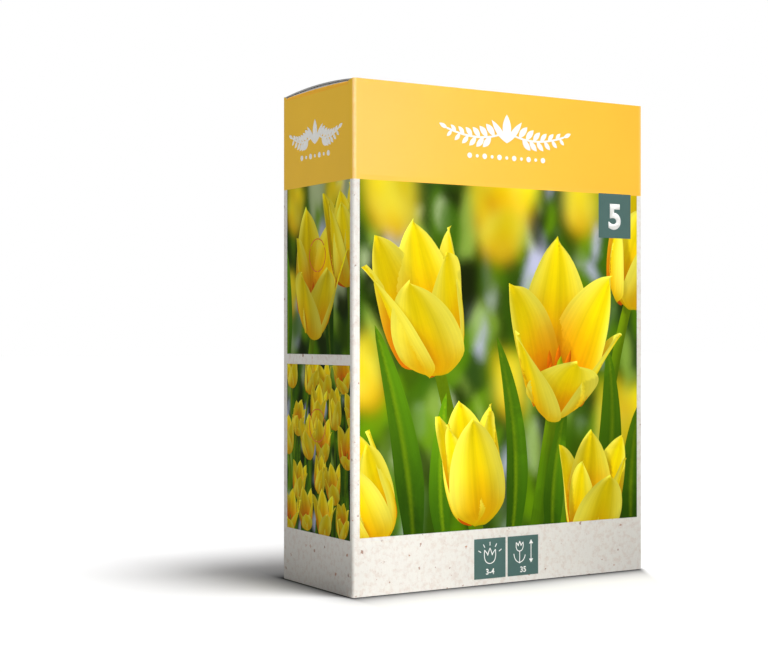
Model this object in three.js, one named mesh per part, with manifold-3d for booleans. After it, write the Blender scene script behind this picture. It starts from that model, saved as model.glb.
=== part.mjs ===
// A retail carton for flower bulbs: a folded and glued paperboard sleeve with a glued bottom,
// a bulging tuck-in lid over two dust flaps, and five bulbs lying loose inside.
// Millimetres, +Z up. The origin is the centre of the underside and the front panel faces -Y.

import * as THREE from 'three';
import { mergeVertices } from 'three/addons/utils/BufferGeometryUtils.js';
import Module from 'manifold-3d';

const wasm = await Module();
wasm.setup();

// Driving dimensions of the folded carton
const WIDTH = 130;
const DEPTH = 52;
const HEIGHT = 180;
const BOARD = 0.5;
const FOLD_RADIUS = 1;
const CLEARANCE = 0.3;
const LAYER_GAP = 0.2;

// The lid bulges upwards between its two creases and stops a little short of the side panels
const LID_RISE = 1.2;
const LID_INSET = 0.8;

// The tuck flap leans inwards, so that its tip passes the front panel as the lid swings up
const TUCK_LENGTH = 13;
const TUCK_INSET = 2.2;
const TUCK_LEAN = THREE.MathUtils.degToRad(11.5);
const TUCK_CORNER = 8;
const TUCK_SETBACK = 0.4;

// Top dust flaps, with a front edge clear of the tuck flap and a back edge cut back for the lid
const DUST_LENGTH = 33;
const DUST_FRONT_SETBACK = 3.2;
const DUST_FRONT_TAPER = 4.5;
const DUST_BACK_SETBACK = 3;
const DUST_BACK_TAPER = 17;
const DUST_DROP = 0.7;

// Glued parts: the seam flap inside the back panel, and the bottom flaps in three layers
const SEAM_WIDTH = 14;
const SEAM_END_GAP = 4;
const SEAM_TAPER = 4;
const BOTTOM_INNER_DEPTH = 36;
const BOTTOM_DUST_LENGTH = 34;
const BOTTOM_DUST_TAPER = 9;

// Bulbs: where each lies over the bottom, how it is turned, its size, and its side nose
const BULBS = [
  { x: -42, y: 3, tilt: 24, heading: 200, width: 37, height: 46, nose: 0.68 },
  { x: 1, y: -4, tilt: -68, heading: 35, width: 35, height: 45, nose: 0 },
  { x: 43, y: 3, tilt: 16, heading: 20, width: 38, height: 44, nose: 0.62 },
  { x: -23, y: -3, tilt: 74, heading: 150, width: 35, height: 47, nose: 0.6 },
  { x: 22, y: 2, tilt: -38, heading: 320, width: 36, height: 45, nose: 0.7 },
];
const BULB_SIDES = 22;
const BULB_ROWS = 15;

const halfWidth = WIDTH / 2;
const halfDepth = DEPTH / 2;
const innerHalfWidth = halfWidth - BOARD;
const innerHalfDepth = halfDepth - BOARD;
const creaseZ = HEIGHT - FOLD_RADIUS;
const dustCreaseZ = creaseZ - DUST_DROP;
const lidHalfWidth = halfWidth - LID_INSET;
const tuckFaceY = -innerHalfDepth + TUCK_SETBACK;

// Finishes of the printed board, the yellow lid, the unprinted grey flaps and the bulbs
const printedBoard = { color: 0xe9e2d6, roughness: 0.62, metalness: 0 };
const yellowBoard = { color: 0xf4c34a, roughness: 0.5, metalness: 0 };
const greyBoard = { color: 0xb4b0a8, roughness: 0.85, metalness: 0 };
const bulbSkin = { color: 0x9a5f2e, roughness: 0.6, metalness: 0 };

// Joining and cutting closed meshes
function solidFrom(geometry) {
  const bare = geometry.clone();
  bare.deleteAttribute('normal');
  bare.deleteAttribute('uv');
  const merged = mergeVertices(bare, 1e-4);
  const vertProperties = new Float32Array(merged.attributes.position.array);
  const triVerts = new Uint32Array(merged.index.array);
  return new wasm.Manifold(new wasm.Mesh({ numProp: 3, vertProperties, triVerts }));
}

function geometryFrom(solid) {
  const { vertProperties, triVerts } = solid.getMesh();
  const geometry = new THREE.BufferGeometry();
  geometry.setAttribute('position', new THREE.BufferAttribute(new Float32Array(vertProperties), 3));
  geometry.setIndex(new THREE.BufferAttribute(new Uint32Array(triVerts), 1));
  geometry.computeVertexNormals();
  return geometry;
}

function part(name, geometry, finish) {
  const mesh = new THREE.Mesh(geometry, new THREE.MeshStandardMaterial(finish));
  mesh.name = name;
  return mesh;
}

function box(x0, x1, y0, y1, z0, z1) {
  const geometry = new THREE.BoxGeometry(x1 - x0, y1 - y0, z1 - z0);
  return geometry.translate((x0 + x1) / 2, (y0 + y1) / 2, (z0 + z1) / 2);
}

function sheet(points, thickness) {
  return new THREE.ExtrudeGeometry(new THREE.Shape(points), { depth: thickness, bevelEnabled: false });
}

// Shape x, shape y and extrusion become row Y, Z and X
function standAlongX(geometry, length) {
  geometry.translate(0, 0, -length / 2);
  const turn = new THREE.Matrix4().makeBasis(
    new THREE.Vector3(0, 1, 0),
    new THREE.Vector3(0, 0, 1),
    new THREE.Vector3(1, 0, 0),
  );
  return geometry.applyMatrix4(turn);
}

function arc(centreX, centreY, radius, fromAngle, toAngle, steps) {
  return Array.from({ length: steps + 1 }, (_, i) => {
    const angle = fromAngle + ((toAngle - fromAngle) * i) / steps;
    return new THREE.Vector2(centreX + radius * Math.cos(angle), centreY + radius * Math.sin(angle));
  });
}

function roundedRectangle(halfX, halfY, radius) {
  const corners = [
    [halfX, halfY, 0],
    [-halfX, halfY, 1],
    [-halfX, -halfY, 2],
    [halfX, -halfY, 3],
  ];
  return corners.flatMap(([x, y, quarter]) => {
    const centreX = x - Math.sign(x) * radius;
    const centreY = y - Math.sign(y) * radius;
    const start = (quarter * Math.PI) / 2;
    return arc(centreX, centreY, radius, start, start + Math.PI / 2, 5);
  });
}

// Sleeve: four panels in one tube with rounded creases. The back panel stops below the lid's
// crease and the side panels stop below the creases of the dust flaps.
function makeSleeve() {
  const outline = new THREE.Shape(roundedRectangle(halfWidth, halfDepth, FOLD_RADIUS));
  const inside = roundedRectangle(innerHalfWidth, innerHalfDepth, FOLD_RADIUS - BOARD);
  outline.holes.push(new THREE.Path(inside));
  const tube = new THREE.ExtrudeGeometry(outline, { depth: HEIGHT, bevelEnabled: false });
  const sideEnd = halfDepth - FOLD_RADIUS;
  const past = 2;
  const backCut = box(
    -innerHalfWidth, innerHalfWidth,
    innerHalfDepth - past, halfDepth + past,
    creaseZ - LAYER_GAP, HEIGHT + past,
  );
  const sideCuts = [-1, 1].map((side) => {
    const low = Math.min(side * (innerHalfWidth - past), side * (halfWidth + past));
    const high = Math.max(side * (innerHalfWidth - past), side * (halfWidth + past));
    return box(low, high, -sideEnd, sideEnd, dustCreaseZ - LAYER_GAP, HEIGHT + past);
  });
  const cuts = [backCut, ...sideCuts].map(solidFrom);
  const sleeve = cuts.reduce((body, cut) => body.subtract(cut), solidFrom(tube));
  return part('sleeve', geometryFrom(sleeve), printedBoard);
}

// Seam flap: the strip that carries the glue, flat against the inside of the back panel
function makeSeamFlap() {
  const near = -innerHalfWidth + FOLD_RADIUS;
  const far = near + SEAM_WIDTH;
  const low = SEAM_END_GAP;
  const high = creaseZ - SEAM_END_GAP;
  const points = [
    new THREE.Vector2(near, low),
    new THREE.Vector2(far, low + SEAM_TAPER),
    new THREE.Vector2(far, high - SEAM_TAPER),
    new THREE.Vector2(near, high),
  ];
  const geometry = sheet(points, BOARD).rotateX(Math.PI / 2);
  return part('seam_flap', geometry.translate(0, innerHalfDepth, 0), greyBoard);
}

// Bottom: dust flaps innermost, then the inner flap, and the outer flap that shows underneath
function makeBottom() {
  const reachX = innerHalfWidth - CLEARANCE;
  const reachY = innerHalfDepth - CLEARANCE;
  const layer = BOARD + LAYER_GAP;
  const outer = box(-reachX, reachX, -reachY, reachY, 0, BOARD);
  const innerEnd = -reachY + BOTTOM_INNER_DEPTH;
  const inner = box(-reachX, reachX, -reachY, innerEnd, layer, layer + BOARD);
  const dust = [-1, 1].map((side) => {
    const tip = reachX - BOTTOM_DUST_LENGTH;
    const tipReach = reachY - BOTTOM_DUST_TAPER;
    const points = [
      new THREE.Vector2(reachX, -reachY),
      new THREE.Vector2(reachX, reachY),
      new THREE.Vector2(tip, tipReach),
      new THREE.Vector2(tip, -tipReach),
    ];
    const geometry = sheet(points, BOARD);
    if (side < 0) geometry.rotateZ(Math.PI);
    const name = side < 0 ? 'bottom_dust_flap_left' : 'bottom_dust_flap_right';
    return part(name, geometry.translate(0, 0, 2 * layer), greyBoard);
  });
  return [
    part('bottom_outer_flap', outer, printedBoard),
    part('bottom_inner_flap', inner, greyBoard),
    ...dust,
  ];
}

// Lid outline at a depth below its outer face: a fold, the shallow arch, and the front fold
function lidFace(depth) {
  const backY = halfDepth - FOLD_RADIUS;
  const frontY = tuckFaceY + FOLD_RADIUS;
  const halfSpan = (backY - frontY) / 2;
  const slope = 2 * Math.atan(LID_RISE / halfSpan);
  const middleY = (backY + frontY) / 2;
  const reach = halfSpan / Math.sin(slope);
  const archZ = creaseZ - reach * Math.cos(slope);
  const start = Math.asin(LAYER_GAP / FOLD_RADIUS);
  const up = Math.PI / 2;
  const fold = FOLD_RADIUS - depth;
  return [
    ...arc(backY, creaseZ, fold, start, up - slope, 5),
    ...arc(middleY, archZ, reach + fold, up - slope, up + slope, 16).slice(1, -1),
    ...arc(frontY, creaseZ, fold, up + slope, Math.PI - start, 5),
  ];
}

function makeLid() {
  const points = [...lidFace(0), ...lidFace(BOARD).reverse()];
  const geometry = standAlongX(sheet(points, 2 * lidHalfWidth), 2 * lidHalfWidth);
  return part('lid', geometry, yellowBoard);
}

// Tuck flap: hangs from the lid's front crease behind the front panel, with rounded corners
function makeTuckFlap() {
  const half = lidHalfWidth - TUCK_INSET;
  const top = -LAYER_GAP;
  const low = top - TUCK_LENGTH;
  const quarter = Math.PI / 2;
  const points = [
    new THREE.Vector2(-half, top),
    ...arc(-half + TUCK_CORNER, low + TUCK_CORNER, TUCK_CORNER, 2 * quarter, 3 * quarter, 6),
    ...arc(half - TUCK_CORNER, low + TUCK_CORNER, TUCK_CORNER, 3 * quarter, 4 * quarter, 6),
    new THREE.Vector2(half, top),
  ];
  const geometry = sheet(points, BOARD).rotateX(quarter).translate(0, BOARD, 0);
  const crease = new THREE.Group();
  crease.position.set(0, tuckFaceY, creaseZ);
  crease.rotation.x = TUCK_LEAN;
  crease.add(part('tuck_flap', geometry, yellowBoard));
  return crease;
}

// Dust flap: a fold at the top of the side panel, then a flat tapered flap under the lid
function makeDustFlap(side) {
  const foldX = halfWidth - FOLD_RADIUS;
  const start = Math.asin(LAYER_GAP / FOLD_RADIUS);
  const face = (depth) => [
    ...arc(foldX, dustCreaseZ, FOLD_RADIUS - depth, start, Math.PI / 2, 6),
    new THREE.Vector2(foldX - DUST_LENGTH, dustCreaseZ + FOLD_RADIUS - depth),
  ];
  const section = [...face(0), ...face(BOARD).reverse()];
  const strip = sheet(section, DEPTH).translate(0, 0, -halfDepth).rotateX(Math.PI / 2);
  const front = -halfDepth + DUST_FRONT_SETBACK;
  const back = halfDepth - DUST_BACK_SETBACK;
  const tip = foldX - DUST_LENGTH;
  const past = 2;
  const plan = sheet([
    new THREE.Vector2(halfWidth + past, front),
    new THREE.Vector2(halfWidth + past, back),
    new THREE.Vector2(foldX, back),
    new THREE.Vector2(tip - past, back - DUST_BACK_TAPER),
    new THREE.Vector2(tip - past, front + DUST_FRONT_TAPER),
    new THREE.Vector2(foldX, front),
  ], 2 * past + FOLD_RADIUS).translate(0, 0, dustCreaseZ - past);
  let flap = solidFrom(strip).intersect(solidFrom(plan));
  if (side < 0) flap = flap.mirror([1, 0, 0]);
  const name = side < 0 ? 'dust_flap_left' : 'dust_flap_right';
  return part(name, geometryFrom(flap), greyBoard);
}

// Bulb: basal plate, round body and a dry neck, turned about its own axis, with a side nose
function bulbBody(width, height) {
  const outline = new THREE.SplineCurve([
    [0.0, 0.0], [0.17, 0.0], [0.2, 0.035], [0.34, 0.1], [0.475, 0.26], [0.5, 0.42],
    [0.42, 0.6], [0.25, 0.76], [0.13, 0.87], [0.08, 0.97], [0.0, 1.0],
  ].map(([across, up]) => new THREE.Vector2(across * width, up * height)));
  const points = outline.getPoints(BULB_ROWS).map((p) => new THREE.Vector2(Math.max(p.x, 0), p.y));
  points[0].x = 0;
  points[points.length - 1].x = 0;
  return solidFrom(new THREE.LatheGeometry(points, BULB_SIDES));
}

function makeBulb({ tilt, heading, width, height, nose }) {
  let bulb = bulbBody(width, height);
  if (nose > 0) {
    const side = bulbBody(width * nose, height * nose * 1.15);
    bulb = bulb.add(side.rotate([0, 0, -14]).translate([width * 0.27, height * 0.05, 0]));
  }
  return bulb.translate([0, -height * 0.42, 0]).rotate([90 + tilt, 0, heading]);
}

// Moves a bulb to its place over the floor, held in between the four walls
function place(solid, x, y) {
  const { min, max } = solid.boundingBox();
  const hold = (value, low, high, wall) => {
    return THREE.MathUtils.clamp(value, -wall + CLEARANCE - low, wall - CLEARANCE - high);
  };
  const heldX = hold(x, min[0], max[0], innerHalfWidth);
  const heldY = hold(y, min[1], max[1], innerHalfDepth - BOARD);
  return solid.translate([heldX, heldY, 0]);
}

// Lowers a solid onto what lies below it, then leaves the clearance under it
function settle(solid, below, highest) {
  let clear = highest;
  let blocked = 0;
  while (clear - blocked > 0.02) {
    const middle = (clear + blocked) / 2;
    const hits = !solid.translate([0, 0, middle]).intersect(below).isEmpty();
    if (hits) blocked = middle;
    else clear = middle;
  }
  return solid.translate([0, 0, clear + CLEARANCE]);
}

function makeBulbs(floor) {
  let pile = floor.map((mesh) => solidFrom(mesh.geometry)).reduce((all, one) => all.add(one));
  return BULBS.map((bulb, i) => {
    const placed = place(makeBulb(bulb), bulb.x, bulb.y);
    const solid = settle(placed, pile, HEIGHT);
    pile = pile.add(solid);
    return part(`bulb_${i + 1}`, geometryFrom(solid), bulbSkin);
  });
}

const bottom = makeBottom();
const carton = new THREE.Group();
carton.add(makeSleeve(), makeSeamFlap(), ...bottom);
carton.add(makeLid(), makeTuckFlap(), makeDustFlap(-1), makeDustFlap(1));
carton.add(...makeBulbs(bottom));

export default carton;
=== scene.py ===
# %% [markdown]
# # A carton for flower bulbs
# The subject is a retail carton of folded paperboard that stands upright. The packed CAD model gives
# its size, its creases and its joints, and this script gives it its looks: printed board, flat
# picture prints, small badges, soft folds and the dry bulbs inside. All lengths are in metres.

# %% Load the frame
import math
import random

import bmesh
import bpy
import numpy as np
from mathutils import Matrix, Vector, noise
from mathutils.bvhtree import BVHTree
from mathutils.geometry import delaunay_2d_cdt
from mathutils.interpolate import poly_3d_calc


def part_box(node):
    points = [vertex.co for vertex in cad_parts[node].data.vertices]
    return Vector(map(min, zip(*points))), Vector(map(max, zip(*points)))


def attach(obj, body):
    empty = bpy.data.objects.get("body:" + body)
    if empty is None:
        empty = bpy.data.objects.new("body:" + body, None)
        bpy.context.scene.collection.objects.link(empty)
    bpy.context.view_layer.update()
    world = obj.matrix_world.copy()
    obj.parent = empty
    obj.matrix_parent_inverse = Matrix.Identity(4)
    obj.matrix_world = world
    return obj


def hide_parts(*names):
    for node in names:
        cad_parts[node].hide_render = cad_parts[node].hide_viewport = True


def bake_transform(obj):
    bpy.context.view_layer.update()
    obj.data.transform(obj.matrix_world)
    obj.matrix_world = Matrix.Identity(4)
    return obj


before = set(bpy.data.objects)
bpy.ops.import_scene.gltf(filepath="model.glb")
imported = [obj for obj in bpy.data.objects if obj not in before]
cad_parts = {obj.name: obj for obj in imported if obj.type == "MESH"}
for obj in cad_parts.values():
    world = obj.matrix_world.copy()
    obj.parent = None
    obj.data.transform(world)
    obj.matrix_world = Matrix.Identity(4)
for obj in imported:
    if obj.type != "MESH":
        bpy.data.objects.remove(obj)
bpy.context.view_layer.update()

MM = 0.001
low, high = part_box("sleeve")
width, depth, height = high - low
half_wide, half_deep = width / 2 / MM, depth / 2 / MM
board = 0.5 * MM
fold_radius = 1.0 * MM
front_y, back_y = low.y, high.y
left_x, right_x = low.x, high.x
print("sleeve in mm:", [round(side / MM, 2) for side in (width, depth, height)])

# %% [markdown]
# ## The camera
# The carton's edges in the photograph meet at two vanishing points on the horizon, half way up the
# carton. That gives a level camera at mid height. Its lens, turn and place were solved from the six
# corners that show, so the render can be laid over the photograph.

# %% Camera
camera_data = bpy.data.cameras.new("view")
camera_data.lens = 72.27
camera_data.sensor_width = 36.0
camera = bpy.data.objects.new("view", camera_data)
bpy.context.scene.collection.objects.link(camera)
camera.location = (-0.3316, -0.4871, 0.0903)
camera.rotation_euler = (math.radians(90.03), 0.0, math.radians(-31.203))
bpy.context.scene.camera = camera
print("camera height in mm:", round(camera.location.z / MM, 1))

# %% [markdown]
# ## The studio
# A product picture like this one has a white ground that runs into a white background. A large
# plain floor and a white world do that. One high lamp from the front right throws the shadow back to
# the left. Two narrow beams fall on the front panel and leave its lower right corner darker, and a
# third one falls on the top of the side. Their strengths were fitted to the photograph's brightness.

# %% Floor and lights
bpy.ops.object.select_all(action="DESELECT")
bpy.ops.mesh.primitive_plane_add(size=12.0, location=(0.0, 0.0, -0.00002))
floor = bpy.context.object
floor.name = "studio_floor"


def add_light(name, kind, energy, place, target, **settings):
    data = bpy.data.lights.new(name, kind)
    data.energy = energy
    for key, value in settings.items():
        setattr(data, key, value)
    light = bpy.data.objects.new(name, data)
    light.location = place
    aim = Vector(target) - Vector(place)
    light.rotation_euler = aim.to_track_quat("-Z", "Y").to_euler()
    bpy.context.scene.collection.objects.link(light)
    return light


add_light("high_lamp", "SUN", 2.8, (0.2, -0.29, 0.93), (0.0, 0.0, 0.0), angle=math.radians(20))
for name, energy, place, target, size, spread in (
        ("upper_beam", 0.074, (0.213, -0.882, 0.28), (-0.015, -0.026, 0.163), 0.15, 24),
        ("corner_beam", 0.0205, (-0.06, -0.9, 0.1), (-0.07, -0.026, 0.045), 0.1, 12),
        ("side_beam", 0.005, (-0.9, 0.05, 0.3), (-0.065, 0.01, 0.19), 0.1, 12)):
    add_light(name, "AREA", energy, place, target, shape="SQUARE", size=size, spread=math.radians(spread))
world = bpy.data.worlds.new("studio_air")
bpy.context.scene.world = world
world.use_nodes = True
air = world.node_tree.nodes["Background"]
air.inputs["Color"].default_value = (1.0, 1.0, 1.0, 1.0)
sight = world.node_tree.nodes.new("ShaderNodeLightPath")
strength = world.node_tree.nodes.new("ShaderNodeMapRange")
strength.inputs["To Min"].default_value = 0.27      # what lights the carton
strength.inputs["To Max"].default_value = 1.0       # what the camera sees
world.node_tree.links.new(sight.outputs["Is Camera Ray"], strength.inputs["Value"])
world.node_tree.links.new(strength.outputs["Result"], air.inputs["Strength"])
view = bpy.context.scene.view_settings
view.view_transform = "Standard"
print("lights:", [light.name for light in bpy.data.lights])

# %% [markdown]
# ## Writing finishes as formulas
# A finish is a network of nodes. Written as plain arithmetic it is short and can be read, so one
# small class stands for the output of a node and knows the operators. Numbers among numbers stay
# in Python, and colours go through Mix nodes, because Math nodes would turn them grey.


# %% Shader helpers
class Wire:
    """One output of a shader node, with the arithmetic that a formula needs."""

    def __init__(self, finish, socket):
        self.finish = finish
        self.socket = socket

    def maths(self, operation, *others):
        values = dict(enumerate((self, *others)))
        return self.finish.node("ShaderNodeMath", {"operation": operation}, values)

    def flipped(self, operation, first):
        return self.finish.node("ShaderNodeMath", {"operation": operation}, {0: first, 1: self})

    def __add__(self, other):
        return self.maths("ADD", other)

    def __sub__(self, other):
        return self.maths("SUBTRACT", other)

    def __mul__(self, other):
        return self.maths("MULTIPLY", other)

    def __pow__(self, other):
        return self.maths("POWER", other)

    def __rsub__(self, other):
        return self.flipped("SUBTRACT", other)

    __radd__ = __add__
    __rmul__ = __mul__


class Finish:
    """A material that is being written: its nodes, its shader and a few common patterns."""

    def __init__(self, name):
        self.material = bpy.data.materials.new(name)
        self.material.use_nodes = True
        self.tree = self.material.node_tree
        self.shader = self.tree.nodes["Principled BSDF"]

    def node(self, kind, settings=None, sockets=None, out=0):
        node = self.tree.nodes.new(kind)
        for name, value in (settings or {}).items():
            setattr(node, name, value)
        for name, value in (sockets or {}).items():
            self.plug(node.inputs[name], value)
        return Wire(self, node.outputs[out])

    def plug(self, port, value):
        if isinstance(value, Wire):
            self.tree.links.new(value.socket, port)
        else:
            port.default_value = value

    def place(self):
        """Object coordinates in millimetres."""
        where = self.node("ShaderNodeTexCoord", out="Object")
        return self.node("ShaderNodeVectorMath", {"operation": "SCALE"}, {0: where, "Scale": 1000.0})

    def vector(self, operation, first, second):
        return self.node("ShaderNodeVectorMath", {"operation": operation}, {0: first, 1: second})

    def split(self, vector):
        node = self.node("ShaderNodeSeparateXYZ", sockets={0: vector}).socket.node
        return [Wire(self, output) for output in node.outputs]

    def join(self, x, y, z):
        return self.node("ShaderNodeCombineXYZ", sockets={0: x, 1: y, 2: z})

    def attribute(self, name):
        return self.node("ShaderNodeAttribute", {"attribute_name": name}, out="Vector")

    def noise(self, place, scale, detail=2.0, roughness=0.5, distortion=0.0):
        sockets = {"Vector": place, "Scale": scale, "Detail": detail, "Roughness": roughness}
        return self.node("ShaderNodeTexNoise", sockets={**sockets, "Distortion": distortion})

    def cells(self, place, scale, out="Distance"):
        return self.node("ShaderNodeTexVoronoi", sockets={"Vector": place, "Scale": scale}, out=out)

    def ease(self, value, start, end):
        """0 before start and 1 after end, with a soft step between them."""
        settings = {"interpolation_type": "SMOOTHSTEP"}
        return self.node("ShaderNodeMapRange", settings, {0: value, 1: start, 2: end})

    def mix(self, share, first, second):
        return self.node("ShaderNodeMix", {"data_type": "RGBA"}, {0: share, 6: first, 7: second}, out=2)

    def shade(self, colour, amount):
        """The colour times a number that varies."""
        grey = self.join(amount, amount, amount)
        settings = {"data_type": "RGBA", "blend_type": "MULTIPLY"}
        return self.node("ShaderNodeMix", settings, {0: 1.0, 6: colour, 7: grey}, out=2)

    def bump(self, level, distance):
        return self.node("ShaderNodeBump", sockets={"Height": level, "Distance": distance})

    def done(self, colour, roughness, normal=None, **constants):
        self.plug(self.shader.inputs["Base Color"], colour)
        self.plug(self.shader.inputs["Roughness"], roughness)
        if normal is not None:
            self.plug(self.shader.inputs["Normal"], normal)
        for name, value in constants.items():
            self.shader.inputs[name.replace("_", " ")].default_value = value
        return self.material


def rgb(red, green, blue):
    """A colour from 0 to 255 in each channel, as it looks on paper, in the shader's linear values."""
    def linear(value):
        share = value / 255
        return share / 12.92 if share <= 0.04045 else ((share + 0.055) / 1.055) ** 2.4
    return (linear(red), linear(green), linear(blue), 1.0)


print("linear value of a mid grey:", round(rgb(128, 128, 128)[0], 3))

# %% [markdown]
# ## Floor paint
# The lamps make the white floor clip to pure white, which would also clip away the soft contact shadow
# where a box meets the floor. The paint brings it back as a painted shadow: it darkens towards the
# carton's foot, and fades past the right corner. Light that bounces sees another floor, even but for
# two darker places, left of the carton towards the front and before its right half: painted shade
# for the foot of the side panel and the lower right of the front.

# %% Floor paint
FLOOR_BOUNCE = 0.8      # how white the floor is to light that bounces
FLOOR_WHITE = (0.95, 0.95, 0.955, 1.0)
CONTACT_FALL = 0.9      # the share of the contact shade that is left one millimetre further out


def make_floor_paint():
    finish = Finish("studio_floor_paint")
    x, y, _ = finish.split(finish.place())
    before = (y.maths("ABSOLUTE") - half_deep).maths("MAXIMUM", 0.0)
    beside = (0.0 - x - half_wide).maths("MAXIMUM", 0.0)
    distance = (before ** 2.0 + (beside * 1.7) ** 2.0).maths("SQRT")
    past_left = finish.ease(beside, 0.0, 3.0)
    # painted contact shadow: darker towards the carton's foot, fading past the right corner
    painted_contact_shadow = distance.flipped("POWER", CONTACT_FALL) * (1.0 - past_left * 0.25)
    painted_contact_shadow = painted_contact_shadow * (1.0 - finish.ease(x + before * 0.55, half_wide - 2.0, half_wide + 2.0))
    colour = finish.shade(FLOOR_WHITE, 1.0 - painted_contact_shadow)
    seen = finish.node("ShaderNodeLightPath", out="Is Camera Ray")
    # painted shade for bounced light: the floor is darker to bounced light left of the carton towards the
    # front and before its right half
    by_side = past_left * (1.0 - finish.ease(y, -30.0, 15.0)) * 0.75
    bounce_shade = (by_side + finish.ease(x, 10.0, 65.0) * 0.32) * (1.0 - finish.ease(distance, 8.0, 60.0))
    bounce = finish.shade((FLOOR_BOUNCE, FLOOR_BOUNCE, FLOOR_BOUNCE, 1.0), 1.0 - bounce_shade)
    colour = finish.mix(seen, bounce, colour)
    return finish.done(colour, 0.9, Specular_IOR_Level=0.1)


floor.data.materials.append(make_floor_paint())
print("floor painted")

# %% [markdown]
# ## Speckled board
# The board is recycled: a warm white sheet with faint pinkish clouds, fine fibres and brown flecks
# of bark and straw. Flecks are the hearts of Voronoi cells. The surface cuts the cells at any depth,
# so the flecks come out in all sizes, and a little noise added to the place makes them ragged.

# %% Speckled board
board_white = rgb(225, 222, 215)
board_cloud = rgb(210, 194, 182)
fleck_brown = rgb(132, 88, 66)
fleck_orange = rgb(184, 122, 80)
fleck_grey = rgb(168, 146, 128)
band_yellow = rgb(251, 186, 48)
# painted shade tone: the band's ink, shifted for how the side panels are lit
side_shade_yellow = rgb(243, 193, 42)
core_grey = rgb(158, 158, 158)
BAND_FOOT = 145.0       # where the yellow band begins, in mm above the floor


def speckled(finish, place):
    push = [finish.noise(finish.vector("ADD", place, (shift, shift, 0.0)), 0.9, 3.0, 0.7) * 1.9
            for shift in (0.0, 17.0, 41.0)]
    torn = finish.vector("ADD", place, finish.join(*push))
    clouds = finish.ease(finish.noise(place, 0.55, 4.0, 0.65), 0.44, 0.68)
    colour = finish.mix(clouds * 0.5, board_white, board_cloud)
    dust = finish.ease(finish.noise(torn, 2.4, 4.0, 0.7), 0.55, 0.7)
    colour = finish.mix(dust * (clouds * 0.4 + 0.12), colour, fleck_grey)
    streaks = finish.vector("MULTIPLY", place, (3.4, 3.4, 0.5))
    colour = finish.shade(colour, finish.noise(streaks, 1.0, 3.0, 0.7) * 0.14 + 0.94)
    fine = 1.0 - finish.ease(finish.cells(torn, 0.62), 0.05, 0.13)
    colour = finish.mix(fine * (clouds * 0.4 + 0.2), colour, fleck_grey)
    size, depth_of_ink, hue = finish.split(finish.cells(torn, 0.25, "Color"))
    heart = finish.cells(torn, 0.25) - size * size * 0.1
    coarse = (1.0 - finish.ease(heart, 0.04, 0.08)) * (depth_of_ink * 0.5 + 0.4)
    return finish.mix(coarse, colour, finish.mix(hue, fleck_brown, fleck_orange))


print("ground of the speckled board:", [round(part, 2) for part in board_white[:3]])

# %% [markdown]
# ## The faces of the board
# The same sheet shows many faces: printed outside, speckled where nothing is printed, greyish inside
# and plain grey where it is cut. Large areas of ink are never quite even. Along the upright creases the
# print is painted pale, most at the left: partly wear, partly a painted highlight on the folds.


# %% Board finishes
def board_grain(finish, place, distance=0.00003):
    return finish.bump(finish.noise(place, 5.0, 3.0, 0.6), distance)


def with_fibres(finish, place, colour, fibre_ink, scale, roughness, share):
    fibres = finish.ease(finish.noise(place, scale, 4.0, roughness), 0.58, 0.74)
    return finish.mix(fibres * share, colour, fibre_ink)


def above_band_foot(finish, z):
    return finish.ease(z, BAND_FOOT - 0.04, BAND_FOOT + 0.04)


def uneven(finish, place, ink_colour):
    """A large area of ink, a little lighter and darker by places."""
    return finish.shade(ink_colour, finish.noise(place, 0.05, 2.0) * 0.08 + 0.96)


def crease_wear_and_highlight(finish, place):
    """Where the print is painted pale along the upright creases, as wear and as a painted highlight: the
    front and back side of each crease, most at the left.
    """
    x, y, _ = finish.split(place)
    from_end = half_wide - x.maths("ABSOLUTE")
    on_front = finish.ease(y.maths("ABSOLUTE"), half_deep - 0.6, half_deep - 0.25)
    patchy = finish.ease(finish.noise(place, 0.35, 3.0, 0.6), 0.3, 0.62)
    # the painted highlight is strongest at the left creases
    stronger_at_left = 1.0 - finish.ease(x, -20.0, 20.0) * 0.6
    return (1.0 - finish.ease(from_end, 0.9, 1.9)) * on_front * stronger_at_left * (patchy * 0.12 + 0.3)


def make_printed_board():
    finish = Finish("printed_board")
    place = finish.place()
    x, _, z = finish.split(place)
    in_band = above_band_foot(finish, z)
    on_side = finish.ease(x.maths("ABSOLUTE"), half_wide - 0.3, half_wide - 0.1)
    # the side panels get the painted shade tone of the band's yellow
    ink = finish.mix(on_side, uneven(finish, place, band_yellow), uneven(finish, place, side_shade_yellow))
    # pale cream along the creases: partly wear, partly a painted highlight
    ink = finish.mix(crease_wear_and_highlight(finish, place), ink, rgb(246, 232, 190))
    colour = finish.mix(in_band, speckled(finish, place), ink)
    roughness = 0.66 - in_band * 0.26
    return finish.done(colour, roughness, board_grain(finish, place, 0.000015), Specular_IOR_Level=0.4)


def make_plain_board():
    finish = Finish("plain_board")
    place = finish.place()
    return finish.done(speckled(finish, place), 0.66, board_grain(finish, place))


def make_inner_board():
    finish = Finish("inner_board")
    place = finish.place()
    clouds = finish.noise(place, 0.12, 5.0, 0.75)
    colour = finish.mix(finish.ease(clouds, 0.3, 0.75), rgb(190, 186, 177), rgb(178, 172, 162))
    colour = with_fibres(finish, place, colour, rgb(146, 138, 126), 3.2, 0.75, 0.3)
    flecks = 1.0 - finish.ease(finish.cells(place, 0.45), 0.06, 0.11)
    colour = finish.mix(flecks * 0.7, colour, fleck_brown)
    return finish.done(colour, 0.88, board_grain(finish, place, 0.00005))


def make_board_core():
    finish = Finish("board_core")
    layers = finish.noise(finish.place(), 6.0, 2.0, 0.7)
    return finish.done(finish.mix(layers, core_grey, rgb(176, 175, 173)), 0.92)


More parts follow.
